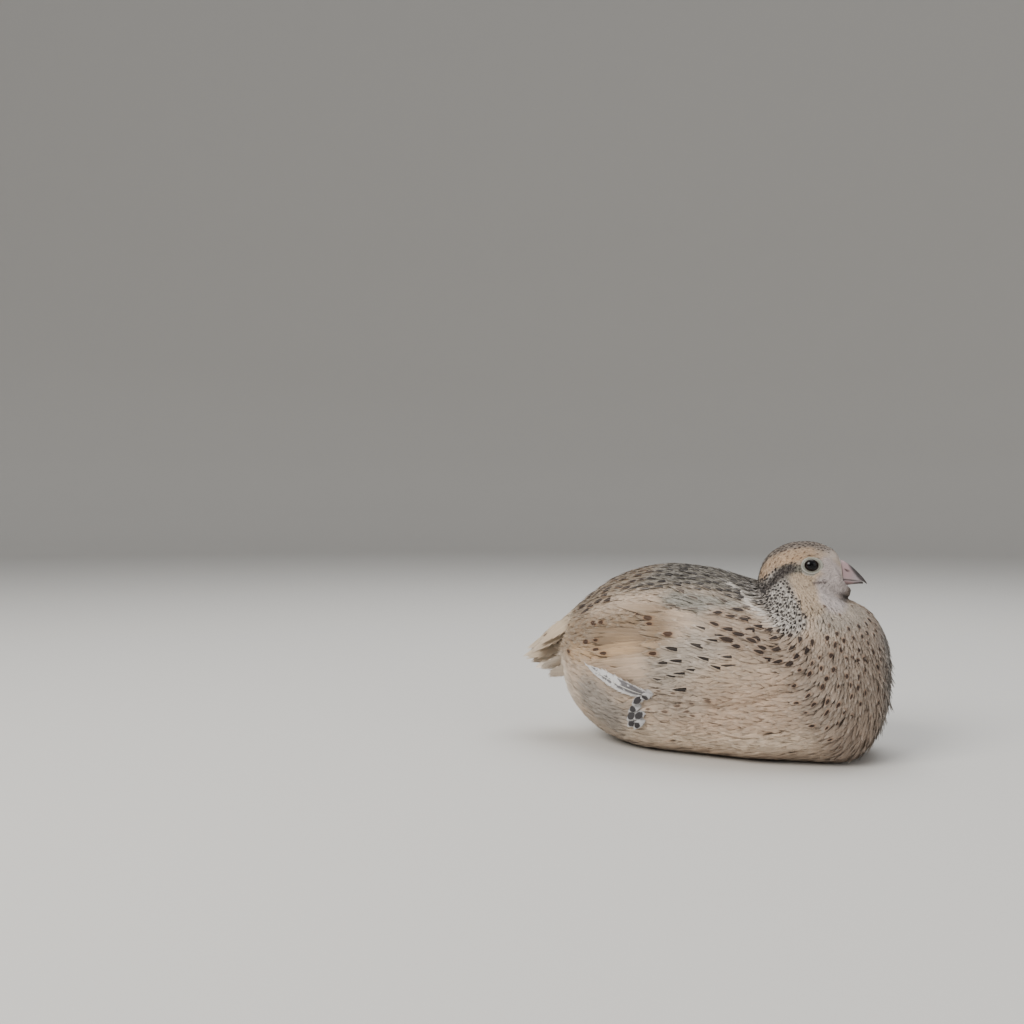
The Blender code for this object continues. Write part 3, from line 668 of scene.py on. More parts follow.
@dataclass(frozen=True)
class Vane:
    """The cut of a feather: a sheet along the shaft, with barbs that come loose at its edge."""

    rows: int = 13
    columns: int = 2
    inner: float = 0.6
    sweep: float = 0.17
    fray: float = 0.3
    rounding: float = 0.4

    def cut(self) -> tuple[Array, Array]:
        """The pattern that every feather of a piece is made from.

        Returns:
            For each vertex its place across from -1 to 1, its place along from 0 to past 1 and whether it ends a
            barb, and the triangles.
        """
        at_side = 0.99
        bm = bmesh.new()
        bmesh.ops.create_grid(bm, x_segments=self.columns, y_segments=self.rows, size=1.0)
        rims = [(edge, (edge.verts[0].co + edge.verts[1].co) / 2) for edge in bm.edges if edge.is_boundary]
        rims = [(edge, middle) for edge, middle in rims if max(abs(middle.x), middle.y) > at_side]
        for vert in bm.verts:
            vert.co = Vector((vert.co.x * self.inner, (vert.co.y + 1) / 2, 0))
        for edge, middle in rims:
            made = bmesh.ops.extrude_edge_only(bm, edges=[edge])["geom"]
            tips = [part for part in made if isinstance(part, bmesh.types.BMVert)]
            along = (middle.y + 1) / 2
            beside = abs(middle.x) > at_side
            across = middle.x if beside else middle.x * self.inner * 0.8
            reach = self.sweep * (1 if beside else 0.7)
            bmesh.ops.pointmerge(bm, verts=tips, merge_co=Vector((across, along + reach, 1.0)))
        bmesh.ops.triangulate(bm, faces=bm.faces)
        bm.verts.index_update()
        bm.normal_update()
        verts = np.array([vert.co[:] for vert in bm.verts])
        faces = np.array([[vert.index for vert in face.verts] for face in bm.faces])
        bm.free()
        corners = verts[faces][..., :2]
        first, second = corners[:, 1] - corners[:, 0], corners[:, 2] - corners[:, 0]
        turned = first[:, 0] * second[:, 1] - first[:, 1] * second[:, 0] < 0
        faces[turned] = faces[turned][:, ::-1]
        return verts, faces

    def outline(self, along: Array) -> Array:
        """The feather's half width along it.

        Args:
            along: places from 0 at the root to 1 at the tip.

        Returns:
            The half width at each, as a share of the greatest.
        """
        root = 0.3 + 0.7 * soft_step(along, 0.0, 0.45)
        past = np.clip((along - (1 - self.rounding)) / self.rounding, 0, 1)
        return root * np.maximum(0.12, np.sqrt(np.maximum(0.0, 1 - past**2)))


class Coat:
    """Joins many feathers in one mesh that carries their colours, marks and maps."""

    nearest_end = 0.05  # how near to the form's ends a feather's path may come, in u
    emerges = 0.62  # how far along it a feather is wholly out of the coat
    on_map = 0.003  # each feather's size on the unwrapped skin

    def __init__(self, form: Form) -> None:
        """Keeps the bird's form."""
        self.form = form

    def follow(self, u: Array, angle: Array, length: Array, swerve: Array, rows: int) -> Paths:
        """Walks from each root over the surface towards the tail.

        Args:
            u: each root's place along the bird.
            angle: and round it.
            length: each feather's length.
            swerve: how far each turns from the straight way back, in radians.
            rows: of the path.

        Returns:
            The paths, with one row past the tip.
        """
        u, angle = u.copy(), angle.copy()
        points, outs, asides = [], [], []
        ran_off = np.zeros(len(u), bool)
        pace = (length / (rows - 2))[:, None]
        heading = point = None
        for _ in range(rows):
            lay = self.form.lay(u, angle)
            straight = heading if heading is not None else lay.back
            held = ran_off[:, None]
            point = lay.point if point is None else np.where(held, point + straight * pace, lay.point)
            heading = unit(np.cos(swerve)[:, None] * lay.back + np.sin(swerve)[:, None] * lay.aside)
            heading = np.where(held, straight, heading)
            out = lay.out if not outs else np.where(held, outs[-1], lay.out)
            points.append(point)
            outs.append(out)
            asides.append(unit(np.cross(heading, out)))
            pairs = (lay.along_u, lay.along_u), (lay.along_u, lay.along_angle), (lay.along_angle, lay.along_angle)
            uu, ua, aa = (np.sum(a * b, axis=1) for a, b in pairs)
            hu, ha = (np.sum(heading * a, axis=1) for a in (lay.along_u, lay.along_angle))
            whole = np.maximum(uu * aa - ua * ua, 1e-12)
            u = u + (hu * aa - ha * ua) / whole * pace[:, 0]
            angle = angle + (ha * uu - hu * ua) / whole * pace[:, 0]
            ran_off |= u < self.nearest_end
            u = np.clip(u, self.nearest_end, self.form.last - self.nearest_end)
        return Paths(*(np.stack(each, axis=1) for each in (points, outs, asides)))

    def lay_down(
        self, name: str, vane: Vane, paths: Paths, trim: Trim, tones: Array, marks: Array, seats: Array, seed: int
    ) -> bpy.types.Object:
        """Builds one piece of the coat.

        Args:
            name: of the piece.
            vane: the cut of its feathers.
            paths: where each lies.
            trim: how each is shaped.
            tones: the colour of each, at evenly spaced places from its root to its tip.
            marks: six numbers each: centre, half length and half width as shares, strength, warmth and shaft.
            seats: each root's place on the unwrapped skin.
            seed: of its small differences.

        Returns:
            The piece.
        """
        draw = np.random.default_rng(seed)
        pattern, faces = vane.cut()
        count, rows = paths.point.shape[:2]
        across, along, barb = (np.tile(pattern[:, i], (count, 1)) for i in range(3))
        shape = across.shape
        along = along + barb * draw.uniform(-0.25, 0.35, shape) * vane.sweep
        along = np.clip(along, 0, (rows - 1) / (rows - 2) - 1e-6)
        across = across * (1 - barb * draw.uniform(-0.1, vane.fray, shape))
        bend = draw.normal(0, 0.1, (count, 1)) * along**2
        numbers = [np.broadcast_to(np.asarray(value, float).reshape(-1, 1), (count, 1)) for value in trim]
        half_width, sunk, crest, tip_lift, dome, shingle = numbers
        row = along * (rows - 2)
        low = np.minimum(np.floor(row).astype(int), rows - 2)
        part = (row - low)[..., None]
        which = np.arange(count)[:, None]
        point, out, aside = (
            each[which, low] * (1 - part) + each[which, low + 1] * part
            for each in (paths.point, paths.out, paths.aside)
        )
        sideways = (across * vane.outline(along) + bend) * half_width
        height = crest - (sunk + crest) * (1 - soft_step(along, 0.0, self.emerges)) + tip_lift * along**3
        height = height - dome * (across * vane.outline(along)) ** 2 + shingle * across
        height = height + barb * draw.normal(0, 0.06, shape) * half_width
        place = point + aside * sideways[..., None] + out * height[..., None]
        floor = (0.15 + 0.5 * draw.random((count, 1))) * MM
        place[..., 2] = np.maximum(place[..., 2], np.maximum(floor, clear_of_feet(place)))
        uv = np.stack([across / 2 + 0.5, np.clip(along / PAST_TIP, 0, 1)], axis=-1)
        triangles = (faces[None] + (np.arange(count) * len(pattern))[:, None, None]).reshape(-1, 3)
        made = mesh_from(name, place.reshape(-1, 3), triangles)
        station = np.clip(along, 0, 1) * (tones.shape[1] - 1)
        first = np.minimum(np.floor(station).astype(int), tones.shape[1] - 2)
        share = (station - first)[..., None]
        tone = tones[which, first] * (1 - share) + tones[which, first + 1] * share
        paint(made.data, "tone", np.concatenate([tone, np.ones((*shape, 1))], axis=-1).reshape(-1, 4))
        paint(made.data, "mark_shape", np.repeat(marks[:, :3], shape[1], axis=0))
        paint(made.data, "mark_kind", np.repeat(marks[:, 3:], shape[1], axis=0))
        paint(made.data, "chance", np.repeat(draw.random((count, 3)), shape[1], axis=0))
        on_skin = seats[:, None] + (uv - 0.5) * self.on_map
        unwrap(made.data, "OFBake", on_skin.reshape(-1, 2)[triangles.ravel()])
        unwrap(made.data, "Feather", uv.reshape(-1, 2)[triangles.ravel()])
        return made

    def seats(self, u: Array, angle: Array) -> Array:
        """Each root's place on the unwrapped skin, which leaves a margin of 0.01."""
        return np.stack([(angle / (2 * np.pi) + 0.5) % 1.0 * 0.98 + 0.01, u / self.form.last * 0.98 + 0.01], axis=-1)


def mesh_from(name: str, points: Array, triangles: Array) -> bpy.types.Object:
    """A smooth mesh object from arrays.

    Args:
        name: of the object.
        points: in metres.
        triangles: the numbers of each one's points.

    Returns:
        The object, in the scene.
    """
    mesh = bpy.data.meshes.new(name)
    mesh.vertices.add(len(points))
    mesh.vertices.foreach_set("co", points.astype(np.float32).ravel())
    mesh.loops.add(triangles.size)
    mesh.loops.foreach_set("vertex_index", triangles.astype(np.int32).ravel())
    mesh.polygons.add(len(triangles))
    mesh.polygons.foreach_set("loop_start", np.arange(0, triangles.size, 3, dtype=np.int32))
    mesh.update(calc_edges=True)
    mesh.shade_smooth()
    made = bpy.data.objects.new(name, mesh)
    bpy.context.scene.collection.objects.link(made)
    return made


def object_from(name: str, bm: bmesh.types.BMesh) -> bpy.types.Object:
    """A smooth mesh object from a bmesh, with its faces outwards.

    Args:
        name: of the object.
        bm: the shape, which is freed.

    Returns:
        The object, in the scene.
    """
    bmesh.ops.recalc_face_normals(bm, faces=bm.faces)
    mesh = bpy.data.meshes.new(name)
    bm.to_mesh(mesh)
    bm.free()
    mesh.shade_smooth()
    made = bpy.data.objects.new(name, mesh)
    bpy.context.scene.collection.objects.link(made)
    return made


def paint(mesh: bpy.types.Mesh, name: str, values: Array) -> None:
    """Keeps a colour, a vector or a number at each vertex.

    Args:
        mesh: that has the vertices.
        name: of the attribute.
        values: a row of four, three or one for each vertex.
    """
    kinds = {4: ("FLOAT_COLOR", "color"), 3: ("FLOAT_VECTOR", "vector"), 1: ("FLOAT", "value")}
    kind, field = kinds[values.shape[1]]
    layer = mesh.attributes.new(name, kind, "POINT")
    layer.data.foreach_set(field, values.astype(np.float32).ravel())


def unwrap(mesh: bpy.types.Mesh, name: str, places: Array) -> None:
    """Adds a UV map with a place for each corner."""
    layer = mesh.uv_layers.new(name=name)
    layer.data.foreach_set("uv", places.astype(np.float32).ravel())


@dataclass(frozen=True)
class Leg:
    """Where the left leg lies folded on the floor, by places (x, y) in millimetres."""

    heel: tuple = (-17.5, 15.6)
    ankle: tuple = (12.5, 14.0)
    shank_top: float = 4.6
    palm: tuple = (12.0, 14.0)
    toes: tuple = ((-21, 21), (0, 26), (20, 20.5), (-150, 10.5))  # the turn in degrees and the length of each
    toe_top: float = 3.2
    clear: float = 2.4  # how far from its middle line the plumage stays above it
    meets_floor: float = 4.2  # how far the plumage is back on the floor

    def bones(self) -> list[tuple]:
        """The shank and the toes.

        Returns:
            The start, the stop and the top of each.
        """
        x, y = self.palm
        ends = [(math.radians(turn), length) for turn, length in self.toes]
        toes = [(self.palm, (x + far * math.cos(turn), y + far * math.sin(turn)), self.toe_top) for turn, far in ends]
        return [(self.heel, self.ankle, self.shank_top), *toes]


def clear_of_feet(points: Array) -> Array:
    """How high the plumage has to be to leave the folded legs free.

    Args:
        points: in metres.

    Returns:
        The least height at each point.
    """
    leg = Leg()
    least = np.zeros(points.shape[:-1])
    for side in Side:
        for start, stop, top in leg.bones():
            start, run = np.array(start) * MM, (np.array(stop) - np.array(start)) * MM
            away = points[..., :2] * np.array([1, side.value]) - start
            share = np.clip(away @ run / (run @ run), 0, 1)
            gap = np.linalg.norm(away - share[..., None] * run, axis=-1)
            least = np.maximum(least, top * MM * soft_step(gap, leg.meets_floor * MM, leg.clear * MM))
    return least


# Finishes


@dataclass(frozen=True)
class FeatherFinish:
    """Soft barbs with a shaft, pale or dark marks, and a darker downy root."""

    name: str
    roughness: float = 0.85
    sheen: float = 0.06
    black: tuple = tint(30, 25, 24)
    brown: tuple = tint(74, 48, 33)
    halo: tuple = tint(134, 98, 70)
    pale: tuple = tint(222, 214, 204)
    down: tuple = tint(150, 138, 128)
    barbs: float = 46.0
    streaks: float = 5.5
    contrast: float = 0.4

    def make(self) -> bpy.types.Material:
        """Builds the material.

        Returns:
            The material.
        """
        g = Graph(self.name)
        across, along = g.feather_place()
        centre, half_length, half_width = g.parts(g.attribute("mark_shape", "Vector"))
        strength, warmth, shaft = g.parts(g.attribute("mark_kind", "Vector"))
        chance, other, _ = g.parts(g.attribute("chance", "Vector"))
        tone = g.attribute("tone")
        rough = g.grain(g.place(), 900.0, 2.0)
        barb = ((along - abs(across) * 0.35) * (self.barbs * 6.28) + rough * 4).sine() * 0.5 + 0.5
        strand = g.node(
            "ShaderNodeCombineXYZ", None, {0: across * self.streaks + chance * 60, 1: along * 1.7 + other * 40}
        ).outputs[0]
        streak = g.grain(strand, 1.0, 3.0, 0.6)
        colour = g.mix(along.step(0.1, 0.6) * 0.8 + 0.2, g.mix(0.25, tone, self.down), tone)
        lightness = 0.95 + (chance - 0.5) * 0.12 + barb * 0.04 + rough * 0.05 + (streak - 0.5) * self.contrast
        edge = abs(across).step(0.55, 1.0) * 0.12 + along.step(0.85, 1.02) * 0.12
        colour = g.mix(edge, colour, self.pale)
        reach = (((along - centre) / half_length) ** 2 + (across / half_width) ** 2) ** 0.5
        reach = reach + (rough - 0.5) * 0.5 + (other - 0.5) * 0.2
        colour = g.mix(reach.step(2.2, 0.9) * strength * warmth.step(0.05, 0.3) * 0.5, colour, self.halo)
        dark = g.mix(warmth, self.black, self.brown)
        colour = g.mix(reach.step(1.12, 0.82) * strength, colour, dark)
        line = abs(across).step(0.11, 0.04) * along.step(0.98, 0.8) * shaft
        colour = g.mix(line, colour, self.pale)
        colour = g.darken(colour, lightness)
        g.relief(barb * 0.4 + streak * 1.2 + abs(across).step(0.1, 0.0) * 0.5, 0.5, 0.16 * MM)
        return g.set(
            Base_Color=colour, Roughness=self.roughness, Sheen_Weight=self.sheen, Sheen_Roughness=0.5,
            Specular_IOR_Level=0.25,
        )


@dataclass(frozen=True)
class SkinFinish:
    """The down between the feathers, in the plumage's own colours darkened by a painted shade."""

    name: str = "skin_down"
    # how dark the painted shade between the feathers makes the down
    shade: float = 0.88

    def make(self) -> bpy.types.Material:
        """Builds the material.

        Returns:
            The material.
        """
        g = Graph(self.name)
        fluff = g.grain(g.place(), 1400.0, 4.0, 0.6)
        g.relief(fluff, 0.6, 0.3 * MM)
        colour = g.darken(g.attribute("tone"), self.shade + fluff * 0.3)
        return g.set(Base_Color=colour, Roughness=0.9, Sheen_Weight=0.2, Specular_IOR_Level=0.2)


@dataclass(frozen=True)
class BillFinish:
    """Horn: pinkish cere, lilac-grey sides, a dark hooked ridge and a painted highlight along the mouth edge."""

    name: str
    root: tuple = tint(158, 132, 133)
    side: tuple = tint(146, 136, 138)
    tip: tuple = tint(40, 33, 31)
    # the tone of the painted highlight along the mouth edge
    pale: tuple = tint(172, 160, 161)
    # the tone of the painted shade inside the nostril's opening
    nostril: tuple = tint(58, 40, 40)
    mottle: tuple = tint(150, 128, 128)

    def make(self) -> bpy.types.Material:
        """Builds the material.

        Returns:
            The material.
        """
        g = Graph(self.name)
        along, high, nostril = g.parts(g.attribute("bill_place", "Vector"))
        mottle = g.grain(g.place((1, 0.5, 1)), 700.0, 3.0)
        fine = g.grain(g.place((1, 1, 2.5)), 2600.0, 2.0)
        colour = g.mix((along + (mottle - 0.5) * 0.25).step(0.2, 0.6), self.root, self.side)
        # painted highlight: a pale band along the mouth edge stands in for gloss
        colour = g.mix(high.step(0.16, 0.0) * 0.6, colour, self.pale)
        ridge = along + (high - 0.5) * 0.55 + (mottle - 0.5) * 0.2
        colour = g.mix(ridge.step(0.38, 0.62), colour, self.tip)
        # painted shade: the carved nostril slit is darkened as the inside of the opening
        colour = g.mix(nostril, colour, self.nostril)
        colour = g.mix(mottle.step(0.35, 0.7) * 0.2, colour, self.mottle)
        g.relief(mottle * 0.6 + fine * 0.4, 0.25, 0.1 * MM)
        return g.set(
            Base_Color=colour, Roughness=0.30 + 0.25 * mottle + (1 - along) * 0.1, Coat_Weight=0.25,
            Coat_Roughness=0.25,
        )


@dataclass(frozen=True)
class EyeFinish:
    """A wet, nearly black eye with a dark brown iris."""

    name: str
    pupil: tuple = tint(5, 5, 6)
    iris: tuple = tint(16, 12, 10)
    spokes: tuple = tint(36, 26, 20)
    rim: tuple = tint(16, 13, 12)

    def make(self) -> bpy.types.Material:
        """Builds the material.

        Returns:
            The material.
        """
        g = Graph(self.name)
        reach = Number(g, g.attribute("iris", "Fac"))
        spokes = g.grain(g.place(), 2500.0, 3.0)
        brown = g.mix(spokes, self.iris, self.spokes)
        colour = g.mix((reach + (spokes - 0.5) * 0.06).step(0.6, 0.72), self.pupil, brown)
        colour = g.mix(reach.step(0.82, 0.98), colour, self.rim)
        return g.set(Base_Color=colour, Roughness=0.05, IOR=1.36, Specular_IOR_Level=0.4)


@dataclass(frozen=True)
class LidFinish:
    """Bare wrinkled skin round the eye, grey-green and dry, and damp at its inner rim."""

    name: str
    dark: tuple = tint(112, 112, 102)
    light: tuple = tint(142, 140, 129)
    damp: tuple = tint(62, 56, 50)
    ridge: tuple = tint(172, 169, 157)
    fold: tuple = tint(104, 94, 86)
    outer: tuple = tint(164, 152, 141)

    def make(self) -> bpy.types.Material:
        """Builds the material.

        Returns:
            The material.
        """
        g = Graph(self.name)
        reach = Number(g, g.attribute("lid_place", "Fac"))
        grain = g.grain(g.place(), 2600.0, 3.0, 0.6)
        colour = g.mix(grain.step(0.3, 0.7), self.dark, self.light)
        colour = g.mix(reach.step(0.16, 0.04), colour, self.damp)
        colour = g.mix(reach.step(0.26, 0.36) * reach.step(0.56, 0.46) * 0.7, colour, self.ridge)
        colour = g.mix(reach.step(0.46, 0.52) * reach.step(0.66, 0.58) * 0.75, colour, self.fold)
        colour = g.mix(reach.step(0.66, 0.9), colour, self.outer)
        g.relief(grain, 0.5, 0.15 * MM)
        return g.set(Base_Color=colour, Roughness=0.45 + 0.3 * reach, Sheen_Weight=0.1)


@dataclass(frozen=True)
class FootFinish:
    """Fine dry scales, pinkish tan, darker towards the claws."""

    name: str = "scaly_foot"
    dark: tuple = tint(178, 142, 118)
    light: tuple = tint(208, 172, 148)
    crack: tuple = tint(122, 92, 74)
    claw: tuple = tint(88, 74, 66)
    claws_from: float = 31 * MM
    claws_whole: float = 36 * MM

    def make(self) -> bpy.types.Material:
        """Builds the material.

        Returns:
            The material.
        """
        g = Graph(self.name)
        place = g.place()
        x, _, _ = g.parts(place)
        cells = g.node("ShaderNodeTexVoronoi", {"feature": "DISTANCE_TO_EDGE"}, {"Vector": place, "Scale": 900.0})
        crack = Number(g, cells.outputs[0]).step(0.0, 0.12)
        bands = (x * 5200).sine() * 0.5 + 0.5
        grain = g.grain(place, 500.0, 3.0)
        colour = g.mix(grain.step(0.3, 0.7), self.dark, self.light)
        colour = g.mix((1 - crack) * 0.5, colour, self.crack)
        colour = g.mix(x.step(self.claws_from, self.claws_whole) * 0.75, colour, self.claw)
        g.relief(crack * 0.6 + bands * 0.4, 0.5, 0.2 * MM)
        return g.set(Base_Color=colour, Roughness=0.55 + 0.2 * grain, Specular_IOR_Level=0.4)


@dataclass(frozen=True)
class QuillFinish:
    """A white wing feather with grey-black blotches and a white shaft."""

    name: str = "white_quill"
    white: tuple = tint(226, 224, 224)
    blotch: tuple = tint(78, 74, 80)
    shaft: tuple = tint(232, 229, 222)

    def make(self) -> bpy.types.Material:
        """Builds the material.

        Returns:
            The material.
        """
        g = Graph(self.name)
        across, along = g.feather_place()
        cloud = g.grain(g.place(), 230.0, 3.0, 0.55)
        fine = g.grain(g.place(), 900.0, 2.0)
        blot = (cloud + (fine - 0.5) * 0.15 + along.step(0.75, 0.3) * 0.12).step(0.44, 0.50)
        inside = abs(across - 0.15).step(0.78, 0.5) * along.step(0.98, 0.9)
        barb = ((along - abs(across) * 0.3) * 420).sine() * 0.5 + 0.5
        colour = g.mix(blot * inside * (0.75 + 0.25 * fine), self.white, self.blotch)
        colour = g.mix(abs(across).step(0.09, 0.03), colour, self.shaft)
        g.relief(barb * 0.6 + abs(across).step(0.1, 0.0), 0.4, 0.12 * MM)
        return g.set(Base_Color=colour, Roughness=0.6, Sheen_Weight=0.2)


@dataclass(frozen=True)
class StudioFinish:
    """A plain matt floor and backdrop."""

    name: str
    tone: tuple

    def make(self) -> bpy.types.Material:
        """Builds the material.

        Returns:
            The material.
        """
        return Graph(self.name).set(Base_Color=self.tone, Roughness=0.9, Specular_IOR_Level=0.1)


# The bird's parts


def own(piece: bpy.types.Object, slot: str, material: bpy.types.Material, *nodes: str) -> bpy.types.Object:
    """Dresses a piece and ties it to the frame.

    Args:
        piece: the new piece.
        slot: not used.
        material: its finish.
        nodes: the solids that it stands for.

    Returns:
        The piece.
    """
    piece.data.materials.clear()
    piece.data.materials.append(material)
    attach(piece, "root")
    if nodes:
        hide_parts(*nodes)
    LOG.info("%s: %d faces", piece.name, len(piece.data.polygons))
    return piece


@dataclass(frozen=True)
class Eye:
    """An eyeball and its bare lids, at the places of the solids. Lengths in millimetres."""

    form: Form
    place: tuple = (41.8, 7.1, 75.7)
    radius: float = 3.5
    tilt: float = math.radians(6.0)
    forward: float = math.radians(-8.0)
    opening: float = 2.62
    bulge: float = 0.045
    lids: tuple = (
        # out from the eye's middle, up its axis
        (2.48, 2.05), (2.52, 2.50), (2.62, 2.72), (2.78, 2.80), (2.94, 2.72), (3.06, 2.56), (3.16, 2.50), (3.28, 2.60),
        (3.42, 2.64), (3.56, 2.52), (3.68, 2.38), (3.80, 2.36), (3.96, 2.30), (4.20, 2.00), (4.60, 1.60), (4.95, 1.20),
    )

    def matrix(self, side: Side) -> Matrix:
        """The eye's place, turned so that its own +Z looks out of the head.

        Args:
            side: of the bird.

        Returns:
            The matrix from the eye's own directions to the bird's.
        """
        sign = side.value
        x, y, z = self.place
        return (
            self.form.head_matrix()
            @ Matrix.Translation((x * MM, sign * y * MM, z * MM))
            @ Matrix.Rotation(sign * self.forward, 4, "Z")
            @ Matrix.Rotation(sign * (-math.pi / 2 + self.tilt), 4, "X")
        )

    def seen_from(self, side: Side, points: Array) -> Array:
        """The points in the eye's own directions, in millimetres."""
        turn = np.array(self.matrix(side).inverted())
        return (points @ turn[:3, :3].T + turn[:3, 3]) / MM

    def ball(self, side: Side) -> bpy.types.Object:
        """The eyeball, with a clear bulge in front.

        Args:
            side: of the bird.

        Returns:
            The piece.
        """
        bm = bmesh.new()
        bmesh.ops.create_uvsphere(bm, u_segments=72, v_segments=56, radius=self.radius * MM)
        for vert in bm.verts:
            out = vert.co.z / (self.radius * MM)
            vert.co *= 1 + self.bulge * float(soft_step(out, 0.6, 1.0))
        iris = [math.hypot(vert.co.x, vert.co.y) / (self.opening * MM) if vert.co.z > 0 else 2.0 for vert in bm.verts]
        bm.transform(self.matrix(side))
        made = object_from(f"eyeball_{side.word}", bm)
        paint(made.data, "iris", np.array(iris)[:, None])
        return own(made, "eye", EyeFinish(f"wet_eye_{side.word}").make(), f"eye_{side.word}")

    def lid_ring(self, side: Side, face: BVHTree) -> bpy.types.Object:
        """The folded skin round the eye, which runs out under the face's feathers.

        Args:
            side: of the bird.
            face: the head's surface.

        Returns:
            The piece.
        """
        bm = bmesh.new()
        line = [bm.verts.new((out * MM, 0, up * MM)) for out, up in self.lids]
        for near, far in zip(line, line[1:]):
            bm.edges.new((near, far))
        bmesh.ops.spin(
            bm, geom=bm.verts[:] + bm.edges[:], cent=(0, 0, 0), axis=(0, 0, 1), angle=2 * math.pi, steps=96,
            use_merge=True,
        )
        bmesh.ops.remove_doubles(bm, verts=bm.verts, dist=1e-7)
        bmesh.ops.subdivide_edges(bm, edges=bm.edges, cuts=1, use_grid_fill=True)
        matrix = self.matrix(side)
        axis = matrix.to_3x3() @ Vector((0, 0, 1))
        places = []
        for vert in bm.verts:
            x, y, z = vert.co / MM
            out, turn = math.hypot(x, y), math.atan2(y, x)
            share = float(soft_step(out, 2.4, 4.0))
            places.append((out - self.lids[0][0]) / (self.lids[-1][0] - self.lids[0][0]))
            crease = noise.noise(Vector((math.cos(turn) * 9, math.sin(turn) * 9, out * 1.6))) * 0.12
            x *= 1.03 + share * (0.17 + 0.06 * math.cos(turn))
            y *= 0.87 + share * 0.05
            start = matrix @ Vector((x * MM, y * MM, 14 * MM))
            hit = face.ray_cast(start, -axis)[0]
            ground = (matrix.inverted() @ hit).z / MM if hit else z
            blend = float(soft_step(out, 2.9, 4.4))
            z = z * (1 - blend) + (ground - 0.25 + 0.35 * (1 - blend)) * blend + crease * (1 - abs(2 * share - 1))
            vert.co = Vector((x, y, z)) * MM
        bm.transform(matrix)
        made = object_from(f"eyelids_{side.word}", bm)
        middle = matrix.translation
        if sum((p.center - middle).dot(axis) * p.normal.dot(axis) for p in made.data.polygons) < 0:
            made.data.flip_normals()
        paint(made.data, "lid_place", np.array(places)[:, None])
        return own(made, "face_plumage", LidFinish(f"eyelid_{side.word}").make())


@dataclass(frozen=True)
class Skin:
    """One closed skin under the whole coat, a coat's depth inside the plumage."""

    form: Form
    plumage: Plumage
    eye: Eye
    rows: int = 190
    around: int = 144
    depth_at: tuple = (0, 3, 6.5, 8.5, 9.5, 11, 12.5, 14, 15.5, 16)
    depth: tuple = (2.0, 3.0, 3.2, 2.6, 1.8, 0.9, 0.6, 0.45, 0.2, 0.05)
    off_floor: float = 0.9
    off_feet: float = 0.2
    socket: float = 3.9  # how far from the eye's axis the skin is drawn in
    under_eyeball: float = 0.5

    def build(self) -> bpy.types.Object:
        """Builds the skin from a grid that is wrapped round the form.

        Returns:
            The piece.
        """
        bm = bmesh.new()
        bmesh.ops.create_grid(bm, x_segments=self.around, y_segments=self.rows, size=1.0)
        layer = bm.loops.layers.uv.new("OFBake")
        for face in bm.faces:
            for loop in face.loops:
                loop[layer].uv = ((loop.vert.co.x + 1) * 0.49 + 0.01, (loop.vert.co.y + 1) * 0.49 + 0.01)
        flat = np.array([vert.co[:2] for vert in bm.verts])
        t = (flat[:, 1] + 1) / 2
        u = self.form.last * (0.62 * t + 0.38 * t**0.5 * t) * 0.999
        angle = flat[:, 0] * np.pi
        lay = self.form.lay(u, angle)
        points = lay.point - lay.out * np.interp(u, self.depth_at, self.depth)[:, None] * MM
        for side in Side:
            points = self.sink_eye(points, side)
        least = np.maximum(self.off_floor * MM, clear_of_feet(points) + self.off_feet * MM)
        points[:, 2] = np.maximum(points[:, 2], least)
        tones, _ = self.plumage.at(self.form.outside(u, angle, turned=False, winged=False))
        tone_layer = bm.verts.layers.float_color.new("tone")
        for vert, point, tone in zip(bm.verts, points, tones):
            vert.co = point
            vert[tone_layer] = (*tone, 1.0)
        bmesh.ops.remove_doubles(bm, verts=bm.verts, dist=1e-7)
        rim = [edge for edge in bm.edges if edge.is_boundary]
        filled = bmesh.ops.holes_fill(bm, edges=rim)["faces"]
        bmesh.ops.poke(bm, faces=filled)
        made = object_from("quail_skin", bm)
        return own(made, "plumage", SkinFinish().make(), "torso", "neck", "head")

    def sink_eye(self, points: Array, side: Side) -> Array:
        """Draws the skin in under the eyeball, so that it never covers the eye.

        Args:
            points: of the skin, in metres.
            side: of the bird.

        Returns:
            The points, drawn in round that eye.
        """
        local = self.eye.seen_from(side, points)
        out = np.hypot(local[:, 0], local[:, 1])
        limit = np.sqrt(np.maximum(0.0, self.eye.radius**2 - out**2)) - self.under_eyeball
        near = (out < self.socket) & (local[:, 2] > -1)
        share = soft_step(out, self.socket, 3.0)
        sunk = np.minimum(local[:, 2], limit)
        local[:, 2] = np.where(near, local[:, 2] + (sunk - local[:, 2]) * share, local[:, 2])
        turn = np.array(self.eye.matrix(side))
        return local * MM @ turn[:3, :3].T + turn[:3, 3]

    def face_tree(self) -> BVHTree:
        """The head's surface, for what is set on it.

        Returns:
            A tree of it.
        """
        rows, around = 110, 120
        u, angle = np.meshgrid(
            np.linspace(9.5, self.form.last, rows), np.linspace(-np.pi, np.pi, around), indexing="ij"
        )
        points = self.form.outside(u, angle).reshape(-1, 3)
        corners = [row * around + place for row in range(rows - 1) for place in range(around - 1)]
        quads = [(first, first + 1, first + around + 1, first + around) for first in corners]
        return BVHTree.FromPolygons([tuple(point) for point in points], quads)


class Patch(NamedTuple):
    """A part of the body's coat on both sides: its span of u and the cut of its feathers."""

    name: str
    start: float
    stop: float
    vane: Vane
    slot: str


BODY_VANE = Vane(7, 4, 0.66, 0.32, 0.4, 0.5)


